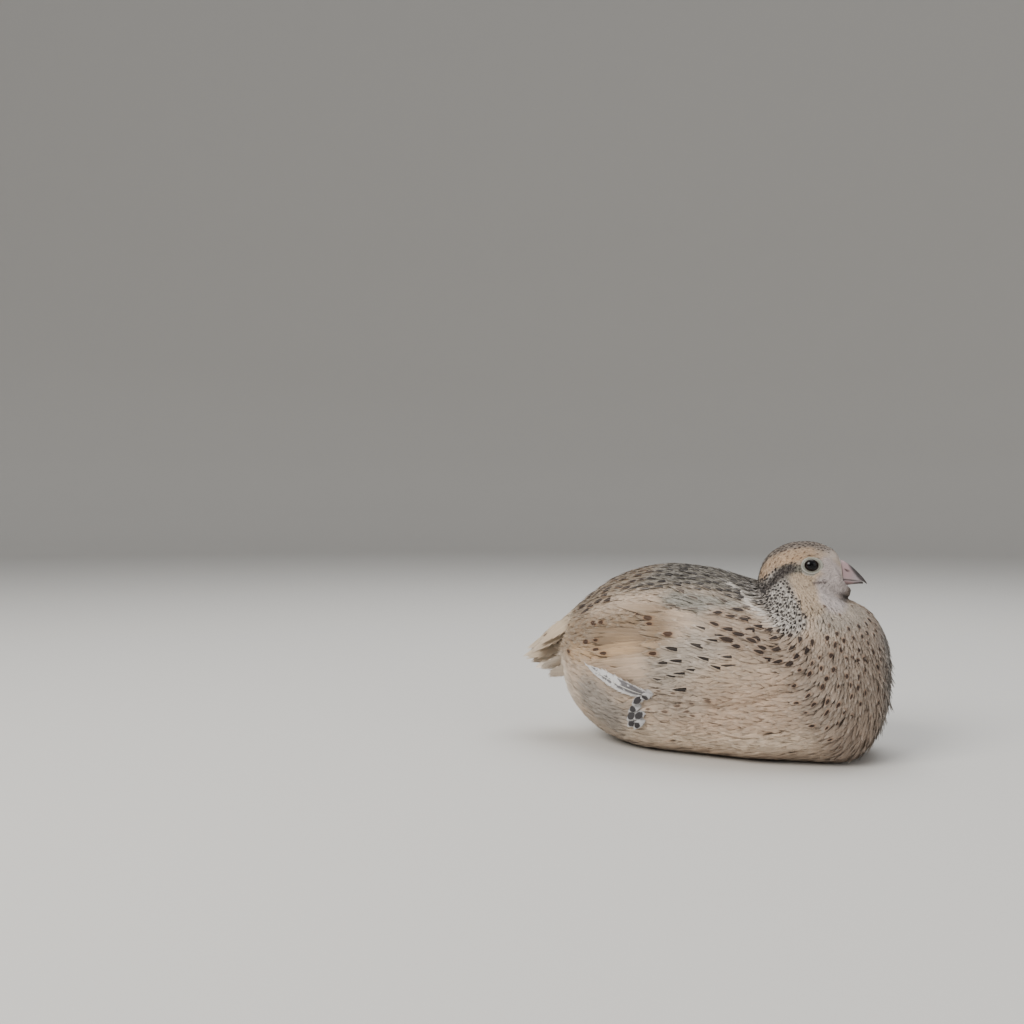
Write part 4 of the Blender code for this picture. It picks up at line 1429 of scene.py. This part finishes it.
@dataclass(frozen=True)
class BodyCoat:
    """The small feathers of body, neck and face, sown evenly and laid towards the tail."""

    form: Form
    plumage: Plumage
    eye: Eye
    tried: int = 420000
    wing_shows: float = -12.0
    size_at: tuple = (0.0, 2.0, 4.0, 6.0, 7.5, 8.5, 9.3, 10.2, 11.3, 12.5, 14.0, 15.2, 16.0)
    length: tuple = (9.0, 10.0, 11.0, 10.5, 8.5, 6.6, 5.2, 3.9, 2.9, 2.3, 1.8, 1.25, 0.9)
    width: tuple = (3.4, 3.8, 4.0, 3.8, 3.2, 2.7, 2.1, 1.6, 1.15, 0.9, 0.75, 0.6, 0.5)
    overlap: float = 7.0
    apart: float = 0.72  # the least distance between roots, as a share of an even spacing
    sunk_at: tuple = (0, 3, 6.5, 8.5, 9.5, 11, 12.5, 16)
    sunk: tuple = (1.8, 2.4, 2.4, 2.0, 1.3, 0.6, 0.4, 0.15)
    bare_round_eye: float = 3.25
    path_rows: int = 9
    patches: tuple = (
        Patch("face_coat", 11.35, 16.0, Vane(4, 2, 0.6, 0.34), "face_plumage"),
        Patch("neck_coat", 8.9, 11.35, Vane(6, 2, 0.6, 0.34), "plumage"),
        Patch("breast_coat", 6.9, 8.9, BODY_VANE, "plumage"),
        Patch("shoulder_coat", 5.0, 6.9, BODY_VANE, "plumage"),
        Patch("flank_coat", 3.2, 5.0, BODY_VANE, "plumage"),
        Patch("rump_coat", 0.0, 3.2, BODY_VANE, "plumage"),
    )

    def sow(self) -> tuple[Array, Array]:
        """Roots spread evenly, with room for the size of the feathers there.

        Returns:
            The u and the angle of each root.
        """
        draw = np.random.default_rng(11)
        u, angle = draw.uniform(0.05, 15.9, self.tried), draw.uniform(-np.pi, np.pi, self.tried)
        lay = self.form.lay(u, angle)
        area = np.linalg.norm(np.cross(lay.along_u, lay.along_angle), axis=1) / MM**2
        length, width = self.sizes(u, angle)
        room = length * width * 0.6 / self.overlap
        crowd = area / room
        keep = draw.random(self.tried) < crowd / crowd.max()
        u, angle, point, reach = u[keep], angle[keep], lay.point[keep], self.apart * np.sqrt(room[keep]) * MM
        tree = KDTree(len(point))
        for index, place in enumerate(point):
            tree.insert(place, index)
        tree.balance()
        free, chosen = np.ones(len(point), bool), []
        for index, place in enumerate(point):
            if free[index]:
                chosen.append(index)
                for _, other, _ in tree.find_range(place, reach[index]):
                    free[other] = False
        LOG.info("sown %d of %d", len(chosen), len(point))
        return u[chosen], angle[chosen]

    def sizes(self, u: Array, angle: Array) -> tuple[Array, Array]:
        """The size of the feathers at each place.

        Args:
            u: the places along the bird.
            angle: and round it.

        Returns:
            Length and width in millimetres.
        """
        turn = np.abs(angle)
        length, width = np.interp(u, self.size_at, self.length), np.interp(u, self.size_at, self.width)
        back = soft_step(turn, 1.0, 0.5)
        length = length * (1 - 0.22 * back * soft_step(u, 9, 7)) * (1 + 0.25 * back * soft_step(u, 11, 12))
        width = width * (1 - 0.30 * back * soft_step(u, 9, 7))
        return length, width

    def build(self) -> list[bpy.types.Object]:
        """Builds every patch of the coat.

        Returns:
            The pieces.
        """
        u, angle = self.sow()
        coat = Coat(self.form)
        made = []
        for seed, patch in enumerate(self.patches):
            for side in Side:
                here = (u >= patch.start) & (u < patch.stop) & (np.where(angle >= 0, 1, -1) == side.value)
                made.append(self.patch(coat, patch, side, u[here], angle[here], 2 * seed + (side is Side.LEFT)))
        return made

    def patch(self, coat: Coat, patch: Patch, side: Side, u: Array, angle: Array, seed: int) -> bpy.types.Object:
        """Builds one patch of one side from its roots.

        Args:
            coat: joins the feathers.
            patch: what it is.
            side: of the bird.
            u: each root's place along the bird.
            angle: and round it.
            seed: of its small differences.

        Returns:
            The piece.
        """
        draw = np.random.default_rng(100 + seed)
        length, width = self.sizes(u, angle)
        length = length * draw.uniform(0.85, 1.15, len(u))
        width = width * draw.uniform(0.88, 1.12, len(u))
        swerve = draw.normal(0, 0.13, len(u))
        paths = coat.follow(u, angle, length * MM, swerve, self.path_rows)
        clear = np.ones(len(u), bool)
        for row in (0, 4, 7):
            local = self.eye.seen_from(side, paths.point[:, row])
            reach = np.hypot(local[:, 0] / 1.2 - 0.1, local[:, 1])
            clear &= ~((reach < self.bare_round_eye + 0.3 * draw.random(len(u))) & (local[:, 2] > 0))
        u, angle, length, width = u[clear], angle[clear], length[clear], width[clear]
        paths = Paths(*(each[clear] for each in paths))
        turn = paths.point[:, :1] - self.form.outside(u, angle, turned=False)[:, None]
        home = paths.point[:, (0, 3, 6)] - turn
        tones, spots = self.plumage.at(home.reshape(-1, 3))
        tones, spots = tones.reshape(-1, 3, 3), spots.reshape(-1, 3, 6)[:, 2]
        picked = spread_out(paths.point[:, 6], spots[:, 0], 300 + seed)
        marks = self.marks(spots, picked, length, width, draw)
        tones = tones * (1 + draw.normal(0, 0.09 if patch.start > 8 else 0.05, (len(u), 1, 1)))
        level = self.form.fullness_of_wing(home[:, 1, 0] / MM, home[:, 1, 2] / MM)
        beside = (np.abs(home[:, 1, 1]) > 12 * MM) * (patch.stop < 8)
        behind = self.wing_shows + draw.uniform(-3, 3, len(u)) - home[:, 1, 0] / MM
        under_wing = beside * soft_step(level, 0.15, 0.5) * soft_step(behind, -6.0, 7.0)
        over_wing = beside * soft_step(level, 0.0, 0.4) * (1 - under_wing)
        loose = soft_step(u, 6.6, 8.4) * soft_step(np.abs(angle), 1.4, 2.4) * soft_step(u, 9.6, 9.0)
        rear = soft_step(u, 3.4, 1.6)
        crest = 0.006 * length * draw.random(len(u)) + (0.04 * length + 0.1) * picked
        tip_lift = draw.normal(0.024, 0.009, len(u)) * (1 - under_wing)
        tip_lift = tip_lift + 0.24 * loose * draw.random(len(u)) ** 6 + 0.02 * rear
        trim = Trim(
            half_width=width / 2 * MM,
            sunk=np.interp(u, self.sunk_at, self.sunk) * MM,
            crest=(crest + 0.5 * over_wing - 1.1 * under_wing) * MM,
            tip_lift=length * tip_lift * MM,
            dome=width * 0.042 * MM,
            shingle=width * draw.normal(0, 0.02, len(u)) * MM,
        )
        name = f"{patch.name}_{side.word}"
        made = coat.lay_down(name, patch.vane, paths, trim, tones, marks, coat.seats(u, angle), 500 + seed)
        return own(made, patch.slot, FeatherFinish(f"{name}_barbs").make())

    @staticmethod
    def marks(spots: Array, picked: Array, length: Array, width: Array, draw: np.random.Generator) -> Array:
        """Each feather's mark, as shares of the feather.

        Args:
            spots: the mark that belongs at each place.
            picked: which feathers have it.
            length: of each feather, in millimetres.
            width: of each feather.
            draw: of the small differences.

        Returns:
            Centre, half length, half width, strength, warmth and shaft for each.
        """
        _, mark_length, mark_width, warmth, full, shaft = spots.T
        count = len(spots)
        long = mark_length * draw.uniform(0.7, 1.2, count) / length / 2
        wide = mark_width * draw.uniform(0.75, 1.2, count) / width
        long = np.minimum(long, 0.36)
        centre = 0.97 - long - draw.uniform(0, 0.05, count)
        strength = picked * full * draw.uniform(0.93, 1.0, count)
        shaft = shaft * draw.uniform(0.05, 0.5, count)
        long, wide = np.maximum(long, 0.03), np.clip(wide, 0.1, 0.95)
        return np.stack([centre, long, wide, strength, warmth, shaft], 1)


class Tier(NamedTuple):
    """A row of wing feathers, by places (x, z) seen from the side in millimetres, lowest feather first."""

    name: str
    count: int
    first_root: tuple
    first_tip: tuple
    last_root: tuple
    last_tip: tuple
    width: float
    lift: float
    droop: float = 0.5


@dataclass(frozen=True)
class Wing:
    """A folded wing: tiers of long soft feathers that lie over each other on the flank."""

    form: Form
    plumage: Plumage
    tiers: tuple = (
        Tier("primary", 9, (-14.0, 28.0), (-43.0, 22.0), (-18.0, 38.5), (-47.5, 33.0), 6.0, 0.2),
        Tier("secondary", 17, (0.0, 28.0), (-29.0, 19.5), (-10.0, 51.0), (-46.0, 47.5), 6.4, 0.4),
        Tier("greater_covert", 20, (20.0, 28.0), (-6.0, 18.5), (10.0, 54.0), (-22.0, 54.0), 5.6, 0.5),
        Tier("median_covert", 19, (34.5, 32.0), (14.0, 21.5), (26.0, 53.0), (1.0, 56.0), 5.2, 0.5),
        Tier("scapular", 14, (27.0, 49.0), (-4.0, 52.5), (5.0, 57.5), (-33.0, 60.5), 5.8, 0.9),
    )
    vane: Vane = Vane(20, 6, 0.62, 0.17, 0.4, 0.45)
    rows: int = 20
    stations: tuple = (0, 4, 9, 13, 18)
    shows_at: float = 0.72
    marked: float = 0.5  # share of the feathers that have a mark where marks belong
    shortest_mark: float = 3.2

    def paths(self, tier: Tier, side: Side, draw: np.random.Generator) -> tuple[Paths, Array, Array, Array]:
        """The lines of one tier's feathers.

        Args:
            tier: the row of feathers.
            side: of the bird.
            draw: of their unevenness.

        Returns:
            The paths, each feather's length, and the u and angle where it shows most.
        """
        share = (np.arange(tier.count) / max(tier.count - 1, 1))[:, None]
        root = np.array(tier.first_root) * (1 - share) + np.array(tier.last_root) * share
        tip = np.array(tier.first_tip) * (1 - share) + np.array(tier.last_tip) * share
        tip = tip + draw.uniform(-1.6, 1.6, tip.shape)
        root = root + draw.uniform(-0.6, 0.6, root.shape)
        return self.lines(root, tip, tier.droop, side)

    def lines(self, root: Array, tip: Array, droop: float, side: Side) -> tuple[Paths, Array, Array, Array]:
        """The lines of feathers whose ends are given by x and z in millimetres.

        Args:
            root: of each.
            tip: of each.
            droop: how far each sags between them.
            side: of the bird.

        Returns:
            The paths, each feather's length, and the u and angle where it shows most.
        """
        run = np.linspace(0, 1, self.rows - 1)
        run = np.append(run, 2 * run[-1] - run[-2])[None, :, None]
        line = root[:, None] + (tip - root)[:, None] * run
        line[..., 1] -= (droop * 4 * run * (1 - run))[..., 0]
        u, angle = self.find(line.reshape(-1, 2), side)
        lay = self.form.lay(u, angle)
        shape = (len(root), self.rows, 3)
        point, out = lay.point.reshape(shape), lay.out.reshape(shape)
        heading = unit(np.gradient(point, axis=1))
        aside = unit(np.cross(heading, out))
        seen = int(self.rows * self.shows_at)
        length = np.linalg.norm(tip - root, axis=1)
        u, angle = u.reshape(shape[:2]), angle.reshape(shape[:2])
        return Paths(point, out, aside), length, u[:, seen], angle[:, seen]

    def find(self, places: Array, side: Side) -> tuple[Array, Array]:
        """Finds places on the side by the nearest of many and a few steps from it.

        Args:
            places: x and z of each, in millimetres.
            side: of the bird.

        Returns:
            The u and the angle of each.
        """
        tree, all_u, all_angle = FLANK
        near = [tree.find((x * MM, 0, z * MM))[1] for x, z in places]
        u, angle = all_u[near], all_angle[near]
        for _ in range(3):
            lay = self.form.lay(u, angle)
            miss = places * MM - lay.point[:, [0, 2]]
            a, b = lay.along_u[:, 0], lay.along_angle[:, 0]
            c, d = lay.along_u[:, 2], lay.along_angle[:, 2]
            whole = a * d - b * c
            whole = np.where(np.abs(whole) < 1e-8, 1e-8, whole)
            u = np.clip(u + np.clip((d * miss[:, 0] - b * miss[:, 1]) / whole, -0.05, 0.05), 0.05, 9.6)
            angle = angle + np.clip((a * miss[:, 1] - c * miss[:, 0]) / whole, -0.03, 0.03)
        return u, angle * -side.value

    def build(self, side: Side) -> bpy.types.Object:
        """Builds one wing.

        Args:
            side: of the bird.

        Returns:
            The piece.
        """
        draw = np.random.default_rng(20 + side.value)
        coat = Coat(self.form)
        gathered, trims, tones, marks, seats = [], [], [], [], []
        for tier in self.tiers:
            paths, length, u, angle = self.paths(tier, side, draw)
            tone, spots = self.plumage.at(paths.point[:, self.stations].reshape(-1, 3))
            tone, spots = tone.reshape(tier.count, -1, 3), spots.reshape(tier.count, -1, 6)[:, -1]
            picked = draw.random(tier.count) < np.where(spots[:, 0] < PLAIN, self.marked, 0)
            spots[:, 1] = np.maximum(spots[:, 1], self.shortest_mark)
            width = np.full(tier.count, tier.width)
            gathered.append(paths)
            marks.append(BodyCoat.marks(spots, picked, length, width, draw))
            tones.append(tone * (1 + draw.normal(0, 0.06, (tier.count, 1, 1))))
            seats.append(coat.seats(u, angle))
            level = np.arange(tier.count) * 0.02
            trims.append(np.stack([width / 2, np.full(tier.count, 1.0), tier.lift + level], axis=1))
        joined = Paths(*(np.concatenate([getattr(p, f) for p in gathered]) for f in Paths._fields))
        sizes = np.concatenate(trims) * MM
        trim = Trim(sizes[:, 0], sizes[:, 1], sizes[:, 2], -0.1 * MM, 0.3 * MM, -side.value * 0.25 * MM)
        made = coat.lay_down(
            f"wing_coat_{side.word}", self.vane, joined, trim, np.concatenate(tones), np.concatenate(marks),
            np.concatenate(seats), 40 + side.value,
        )
        finish = FeatherFinish(f"wing_barbs_{side.word}", barbs=70.0, streaks=4.5, contrast=0.75)
        return own(made, "wing_plumage", finish.make(), f"wing_{side.word}")


@dataclass(frozen=True)
class LooseFeathers:
    """One white wing feather that stands out of the right side, over a tuft of white spotted ones darkened by a
    painted shade.
    """

    wing: Wing
    quill: tuple = ((-9.0, 23.0), (-41.5, 35.0))
    quill_width: float = 7.6
    tuft: tuple = (
        # root x and z, tip x and z, of each, the lowest last
        ((-14.0, 29.0), (-19.5, 24.2)), ((-17.5, 27.0), (-22.5, 21.6)), ((-18.5, 23.5), (-24.6, 18.6)),
        ((-21.0, 21.0), (-25.6, 15.4)), ((-17.5, 20.5), (-22.6, 15.6)), ((-18.0, 17.5), (-23.0, 12.4)),
        ((-21.0, 17.0), (-25.4, 12.6)),
    )
    tuft_width: float = 4.4

    def build(self) -> list[bpy.types.Object]:
        """Builds the quill and the tuft.

        Returns:
            The two pieces.
        """
        draw = np.random.default_rng(8)
        coat = Coat(self.wing.form)
        root, tip = (np.array([end]) for end in self.quill)
        paths, _, u, angle = self.wing.lines(root, tip, 0.6, Side.RIGHT)
        unmarked = np.array([[0.5, 0.1, 0.1, 0.0, 0.0, 0.0]])
        white = np.tile(np.array(tint(224, 222, 222)), (1, 2, 1))
        trim = Trim(self.quill_width / 2 * MM, 0.6 * MM, 2.4 * MM, 1.0 * MM, 0.3 * MM, 0.5 * MM)
        quill = coat.lay_down(
            "stray_quill", Vane(56, 6, 0.86, 0.04, 0.14, 0.5), paths, trim, white, unmarked, coat.seats(u, angle), 9
        )
        own(quill, "wing_plumage", QuillFinish().make())
        count = len(self.tuft)
        root, tip = np.array(self.tuft)[:, 0], np.array(self.tuft)[:, 1]
        paths, length, u, angle = self.wing.lines(root, tip, 0.3, Side.RIGHT)
        width = np.full(count, self.tuft_width)
        spots = np.tile(np.array(Mark(1, 3.3, 3.4, 0.0, 1.0, 0.0), float), (count, 1))
        marks = BodyCoat.marks(spots, np.ones(count), length, width, draw)
        trim = Trim(width / 2 * MM, 1.2 * MM, (1.5 + 0.12 * draw.permutation(count)) * MM, 0.3 * MM, 0.3 * MM, 0.0)
        tuft = coat.lay_down(
            # painted shade: the tuft's white is darkened to 0.72 so that it sinks into the body
            "spotted_tuft", Vane(14, 6, 0.62, 0.16, 0.4), paths, trim, np.tile(white * 0.72, (count, 1, 1)), marks,
            coat.seats(u, angle), 10,
        )
        own(tuft, "wing_plumage", FeatherFinish("tuft_barbs", black=tint(48, 44, 46)).make())
        return [quill, tuft]


class Fan(NamedTuple):
    """A fan of tail feathers. Places are (x, z) in millimetres, angles are in degrees."""

    name: str
    count: int
    root: tuple
    length: float
    slope: float
    spread: float
    root_half_width: float
    width: float
    droop: float
    lift: float = 0.0


@dataclass(frozen=True)
class Tail:
    """The short soft tail: fans of feathers from the upper coverts down to those under it."""

    form: Form
    plumage: Plumage
    fans: tuple = (
        Fan("upper_covert", 17, (-53.0, 56.0), 25.0, 36.0, 20.0, 9.0, 7.6, 0.6, 0.2),
        Fan("upper_fringe", 15, (-55.0, 51.5), 24.0, 29.0, 18.0, 8.5, 7.4, 0.8, 0.1),
        Fan("rectrix", 13, (-57.0, 44.5), 23.5, 19.0, 14.0, 6.0, 7.8, 1.0),
        Fan("lower_covert", 15, (-59.0, 38.0), 18.0, 14.0, 17.0, 6.0, 7.4, 1.0),
        Fan("under_covert", 23, (-56.0, 32.0), 15.5, 9.0, 24.0, 8.0, 7.8, 1.0),
        Fan("under_fringe", 23, (-55.0, 27.5), 12.5, 4.0, 28.0, 8.5, 7.4, 0.8),
    )
    vane: Vane = Vane(16, 6, 0.66, 0.16, 0.35, 0.42)
    rows: int = 12
    marked: float = 0.3  # share of the feathers that have a mark where marks belong
    bowl: float = -2.5  # how far the fans under the tail rise at their sides
    roof: float = 3.0  # how far the others drop
    facing: float = 1.5  # how much the feathers at the sides face outwards

    def build(self) -> bpy.types.Object:
        """Builds the tail's feathers.

        Returns:
            The piece.
        """
        draw = np.random.default_rng(77)
        points, outs, asides, sizes, tones, marks, seats = [], [], [], [], [], [], []
        run = np.linspace(0, 1, self.rows - 1)
        run = np.append(run, 2 * run[-1] - run[-2])
        for fan in self.fans:
            for index in range(fan.count):
                across = 2 * index / (fan.count - 1) - 1 + draw.normal(0, 0.05)
                sideways = math.radians(fan.spread) * across
                slope = math.radians(fan.slope + draw.normal(0, 1.6))
                heading = np.array(
                    [-math.cos(sideways) * math.cos(slope), math.sin(sideways) * math.cos(slope), -math.sin(slope)]
                )
                under = fan.name.startswith("under")
                bend, face = (self.bowl, -1) if under else (self.roof, 1)
                root = np.array([fan.root[0], fan.root_half_width * across, fan.root[1] - bend * across**2])
                out = unit(np.array([-math.sin(slope), self.facing * across, face * math.cos(slope)]))
                aside = unit(np.cross(heading, out))
                length = fan.length * (0.95 - 0.1 * across**2) * draw.uniform(0.86, 1.04)
                line = root + heading * (length * run)[:, None]
                line[:, 2] -= fan.droop * run**2
                points.append(line * MM)
                outs.append(np.tile(out, (self.rows, 1)))
                asides.append(np.tile(aside, (self.rows, 1)))
                sizes.append((fan.width / 2, 0.3, fan.lift + 0.25 * (index % 2) + draw.uniform(0, 0.2)))
                tone, spots = self.plumage.at(line[[0, self.rows // 2, self.rows - 2]] * MM)
                spots = spots[-1:]
                spots[:, 1] = 3.0
                picked = (draw.random(1) < self.marked) * (spots[:, 0] < PLAIN)
                tones.append(tone[None] * (1 + draw.normal(0, 0.05)))
                marks.append(BodyCoat.marks(spots, picked, np.array([length]), np.array([fan.width]), draw))
                seats.append(np.array([[0.5 + 0.08 * across, 0.012]]))
        coat = Coat(self.form)
        sizes = np.array(sizes) * MM
        trim = Trim(sizes[:, 0], sizes[:, 1], sizes[:, 2], 0.0, 0.5 * MM, 0.0)
        made = coat.lay_down(
            "tail_coat", self.vane, Paths(np.stack(points), np.stack(outs), np.stack(asides)), trim,
            np.concatenate(tones), np.concatenate(marks), np.concatenate(seats), 78,
        )
        return own(made, "tail_plumage", FeatherFinish("tail_barbs", barbs=50.0, contrast=0.6).make(), "tail")


@dataclass(frozen=True)
class Bill:
    """The short stout bill in two halves, at the solids' place. Lengths in millimetres."""

    form: Form
    tip_x: float = 63.4
    ridge_z: float = 77.6
    mouth_back_z: float = 70.1
    mouth_front_z: float = 69.5
    droop: float = 0.6
    hook: float = 0.7
    lower_share: float = 0.84
    gap: float = 0.26
    nostril: tuple = (55.9, 74.0)
    nostril_slant: float = math.radians(-24.0)
    rows: int = 60
    around: int = 56

    def build(self, upper: bool) -> bpy.types.Object:
        """Builds one half.

        Args:
            upper: whether it is the upper one.

        Returns:
            The piece.
        """
        bm = bmesh.new()
        bmesh.ops.create_grid(bm, x_segments=self.around, y_segments=self.rows, size=1.0)
        flat = np.array([vert.co[:2] for vert in bm.verts])
        t = (flat[:, 1] + 1) / 2 * (1.0 if upper else self.lower_share)
        ring = (flat[:, 0] + 1) / 2 / 0.8
        angle = np.pi * np.clip(ring, 0, 1)
        side = 1 if upper else -1
        root = np.array(self.form.rings[-1])
        hook = self.hook * np.maximum(0, (t - self.lower_share) / (1 - self.lower_share)) if upper else 0 * t
        seam = self.mouth_back_z + (self.mouth_front_z - self.mouth_back_z) * t - self.droop * t**4
        seam = seam + side * self.gap / 2 - hook
        wide = root[4] * 0.93
        half_width = 0.35 + (wide - 0.35) * (1 - t) ** 0.72 * (1 - 0.12 * np.sin(np.pi * t))
        half_width = half_width * (1.0 if upper else 0.94)
        if upper:
            rise = (self.ridge_z - self.mouth_back_z) * (1 - t) * (1 + 0.6 * t * (1 - t)) + 0.3 + hook * 0.5
        else:
            rise = (self.mouth_back_z - root[3]) * (1 - 0.75 * t) - self.gap / 2
        bottom = np.clip((ring - 1) / 0.25, 0, 1)
        arch = np.sin(angle)
        pinch = 1 - 0.10 * np.sin(np.clip(arch, 0, 1) * np.pi) * (1 if upper else 0)
        y = half_width * np.where(ring <= 1, np.cos(angle) * pinch, -1 + 2 * bottom)
        arched = rise * np.maximum(arch, 0) ** 0.9
        z = seam + side * np.where(ring <= 1, arched, 0.35 * np.sin(np.pi * bottom) * (1 - t))
        slit = np.zeros(len(t))
        root_x = root[2] + (root[0] - root[2]) * (z - root[3]) / (root[1] - root[3])
        x = (root_x + 0.15) * (1 - t) + self.tip_x * t
        if upper:
            away_x, away_z = x - self.nostril[0], z - self.nostril[1]
            cosine, sine = math.cos(self.nostril_slant), math.sin(self.nostril_slant)
            along, over = away_x * cosine + away_z * sine, away_z * cosine - away_x * sine
            flap = np.exp(-((along / 1.7) ** 2) - ((over - 0.35) / 0.75) ** 2)
            slit = soft_step(np.hypot(along / 1.15, (over + 0.32 - 0.12 * along**2) / 0.24), 1.15, 0.8)
            y = y + np.sign(y) * (0.32 * flap - 0.42 * slit) * (ring <= 1)
            lip = np.exp(-((arch - 0.06) / 0.07) ** 2) * (1 - t) * 0.16
            y = y + np.sign(y) * lip * (ring <= 1)
        high = np.where(ring <= 1, arch, 0.0)
        for vert, place in zip(bm.verts, np.stack([x, y, z], axis=1) * MM):
            vert.co = place
        layer = bm.verts.layers.float_vector.new("bill_place")
        for vert, values in zip(bm.verts, np.stack([t, high, slit], axis=1)):
            vert[layer] = values
        bmesh.ops.remove_doubles(bm, verts=bm.verts, dist=1e-7)
        bmesh.ops.holes_fill(bm, edges=[edge for edge in bm.edges if edge.is_boundary])
        bm.transform(self.form.head_matrix())
        word = "upper" if upper else "lower"
        made = object_from(f"horn_{word}", bm)
        return own(made, "bill", BillFinish(f"horn_{word}_finish").make(), f"bill_{word}")


class Lamp(NamedTuple):
    """A soft square light. Its place and size are in metres, its power in watts."""

    name: str
    place: tuple
    size: float
    power: float
    tone: tuple


@dataclass(frozen=True)
class Studio:
    """A plain pale floor that curves up into a wall, soft light, and the camera where the photograph's was."""

    camera_at: tuple = (70.1, -432.1, 97.2)
    camera_yaw: float = math.radians(20.0)
    lens: float = 36.0
    floor_tone: tuple = tint(206, 203, 198)
    wall: tuple = (
        # how far out and how high, in metres, from the middle of the floor to the top of the wall
        (0.0, 0.0), (0.5, 0.0), (2.1, 0.0), (2.3, 0.02), (2.5, 0.1),
        (2.65, 0.26), (2.74, 0.5), (2.78, 0.9), (2.8, 1.85),
    )
    aim: tuple = (0, 0, 0.04)
    lamps: tuple = (
        Lamp("key", (-0.5, -0.85, 0.8), 0.6, 14.0, (1.0, 0.98, 0.94)),
        Lamp("top", (0.05, 0.3, 1.0), 0.9, 8.0, (0.96, 0.98, 1.0)),
        Lamp("fill", (0.95, -0.5, 0.45), 0.8, 2.0, (0.97, 0.98, 1.0)),
    )
    air: tuple = (0.9, 0.92, 0.95, 1.0)
    air_strength: float = 0.55

    def sweep(self) -> bpy.types.Object:
        """The floor, a wide disc that curves up into a wall all round.

        Returns:
            The floor.
        """
        bm = bmesh.new()
        verts = [bm.verts.new((out, 0.0, up)) for out, up in self.wall]
        edges = [bm.edges.new(pair) for pair in zip(verts, verts[1:])]
        bmesh.ops.spin(
            bm, geom=verts + edges, cent=(0, 0, 0), axis=(0, 0, 1), angle=2 * math.pi, steps=72, use_merge=True
        )
        bmesh.ops.remove_doubles(bm, verts=bm.verts, dist=1e-5)
        floor = object_from("studio_sweep", bm)
        if floor.data.polygons[0].normal.z < 0:
            floor.data.flip_normals()
        floor.data.materials.append(StudioFinish("studio_paper", self.floor_tone).make())
        return floor

    def light(self, lamp: Lamp) -> None:
        """Hangs one light.

        Args:
            lamp: what it is.
        """
        data = bpy.data.lights.new(lamp.name, "AREA")
        data.shape = "SQUARE"
        data.size, data.energy, data.color = lamp.size, lamp.power, lamp.tone
        made = bpy.data.objects.new(lamp.name, data)
        made.location = lamp.place
        made.rotation_euler = (Vector(self.aim) - Vector(lamp.place)).to_track_quat("-Z", "Y").to_euler()
        bpy.context.scene.collection.objects.link(made)

    def camera(self) -> bpy.types.Object:
        """The camera, level, with the photograph's framing.

        Returns:
            The camera.
        """
        data = bpy.data.cameras.new("camera")
        data.lens, data.sensor_width, data.sensor_height = self.lens, 36.0, 36.0
        data.clip_start, data.clip_end = 0.01, 50.0
        made = bpy.data.objects.new("camera", data)
        made.location = Vector(self.camera_at) * MM
        made.rotation_euler = (math.pi / 2, 0.0, self.camera_yaw)
        bpy.context.scene.collection.objects.link(made)
        bpy.context.scene.camera = made
        return made

    def build(self) -> None:
        """Sets up floor, lights, surroundings and camera."""
        self.sweep()
        for lamp in self.lamps:
            self.light(lamp)
        world = bpy.data.worlds.new("studio_air")
        world.use_nodes = True
        background = world.node_tree.nodes["Background"]
        background.inputs["Color"].default_value = self.air
        background.inputs["Strength"].default_value = self.air_strength
        bpy.context.scene.world = world
        self.camera()


FORM = Form()
FLANK = FORM.flank_map()


def main() -> None:
    """Builds the studio and the bird, part by part."""
    logging.basicConfig(level=logging.INFO, format="%(message)s")
    Studio().build()
    plumage = Plumage()
    eye = Eye(FORM)
    skin = Skin(FORM, plumage, eye)
    skin.build()
    face = skin.face_tree()
    for side in Side:
        eye.ball(side)
        eye.lid_ring(side, face)
    for upper in (True, False):
        Bill(FORM).build(upper)
    BodyCoat(FORM, plumage, eye).build()
    wing = Wing(FORM, plumage)
    for side in Side:
        wing.build(side)
    LooseFeathers(wing).build()
    Tail(FORM, plumage).build()
    foot = FootFinish().make()
    for side in Side:
        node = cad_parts[f"leg_{side.word}"]
        node.data.materials.clear()
        node.data.materials.append(foot)


if __name__ == "__main__":
    main()
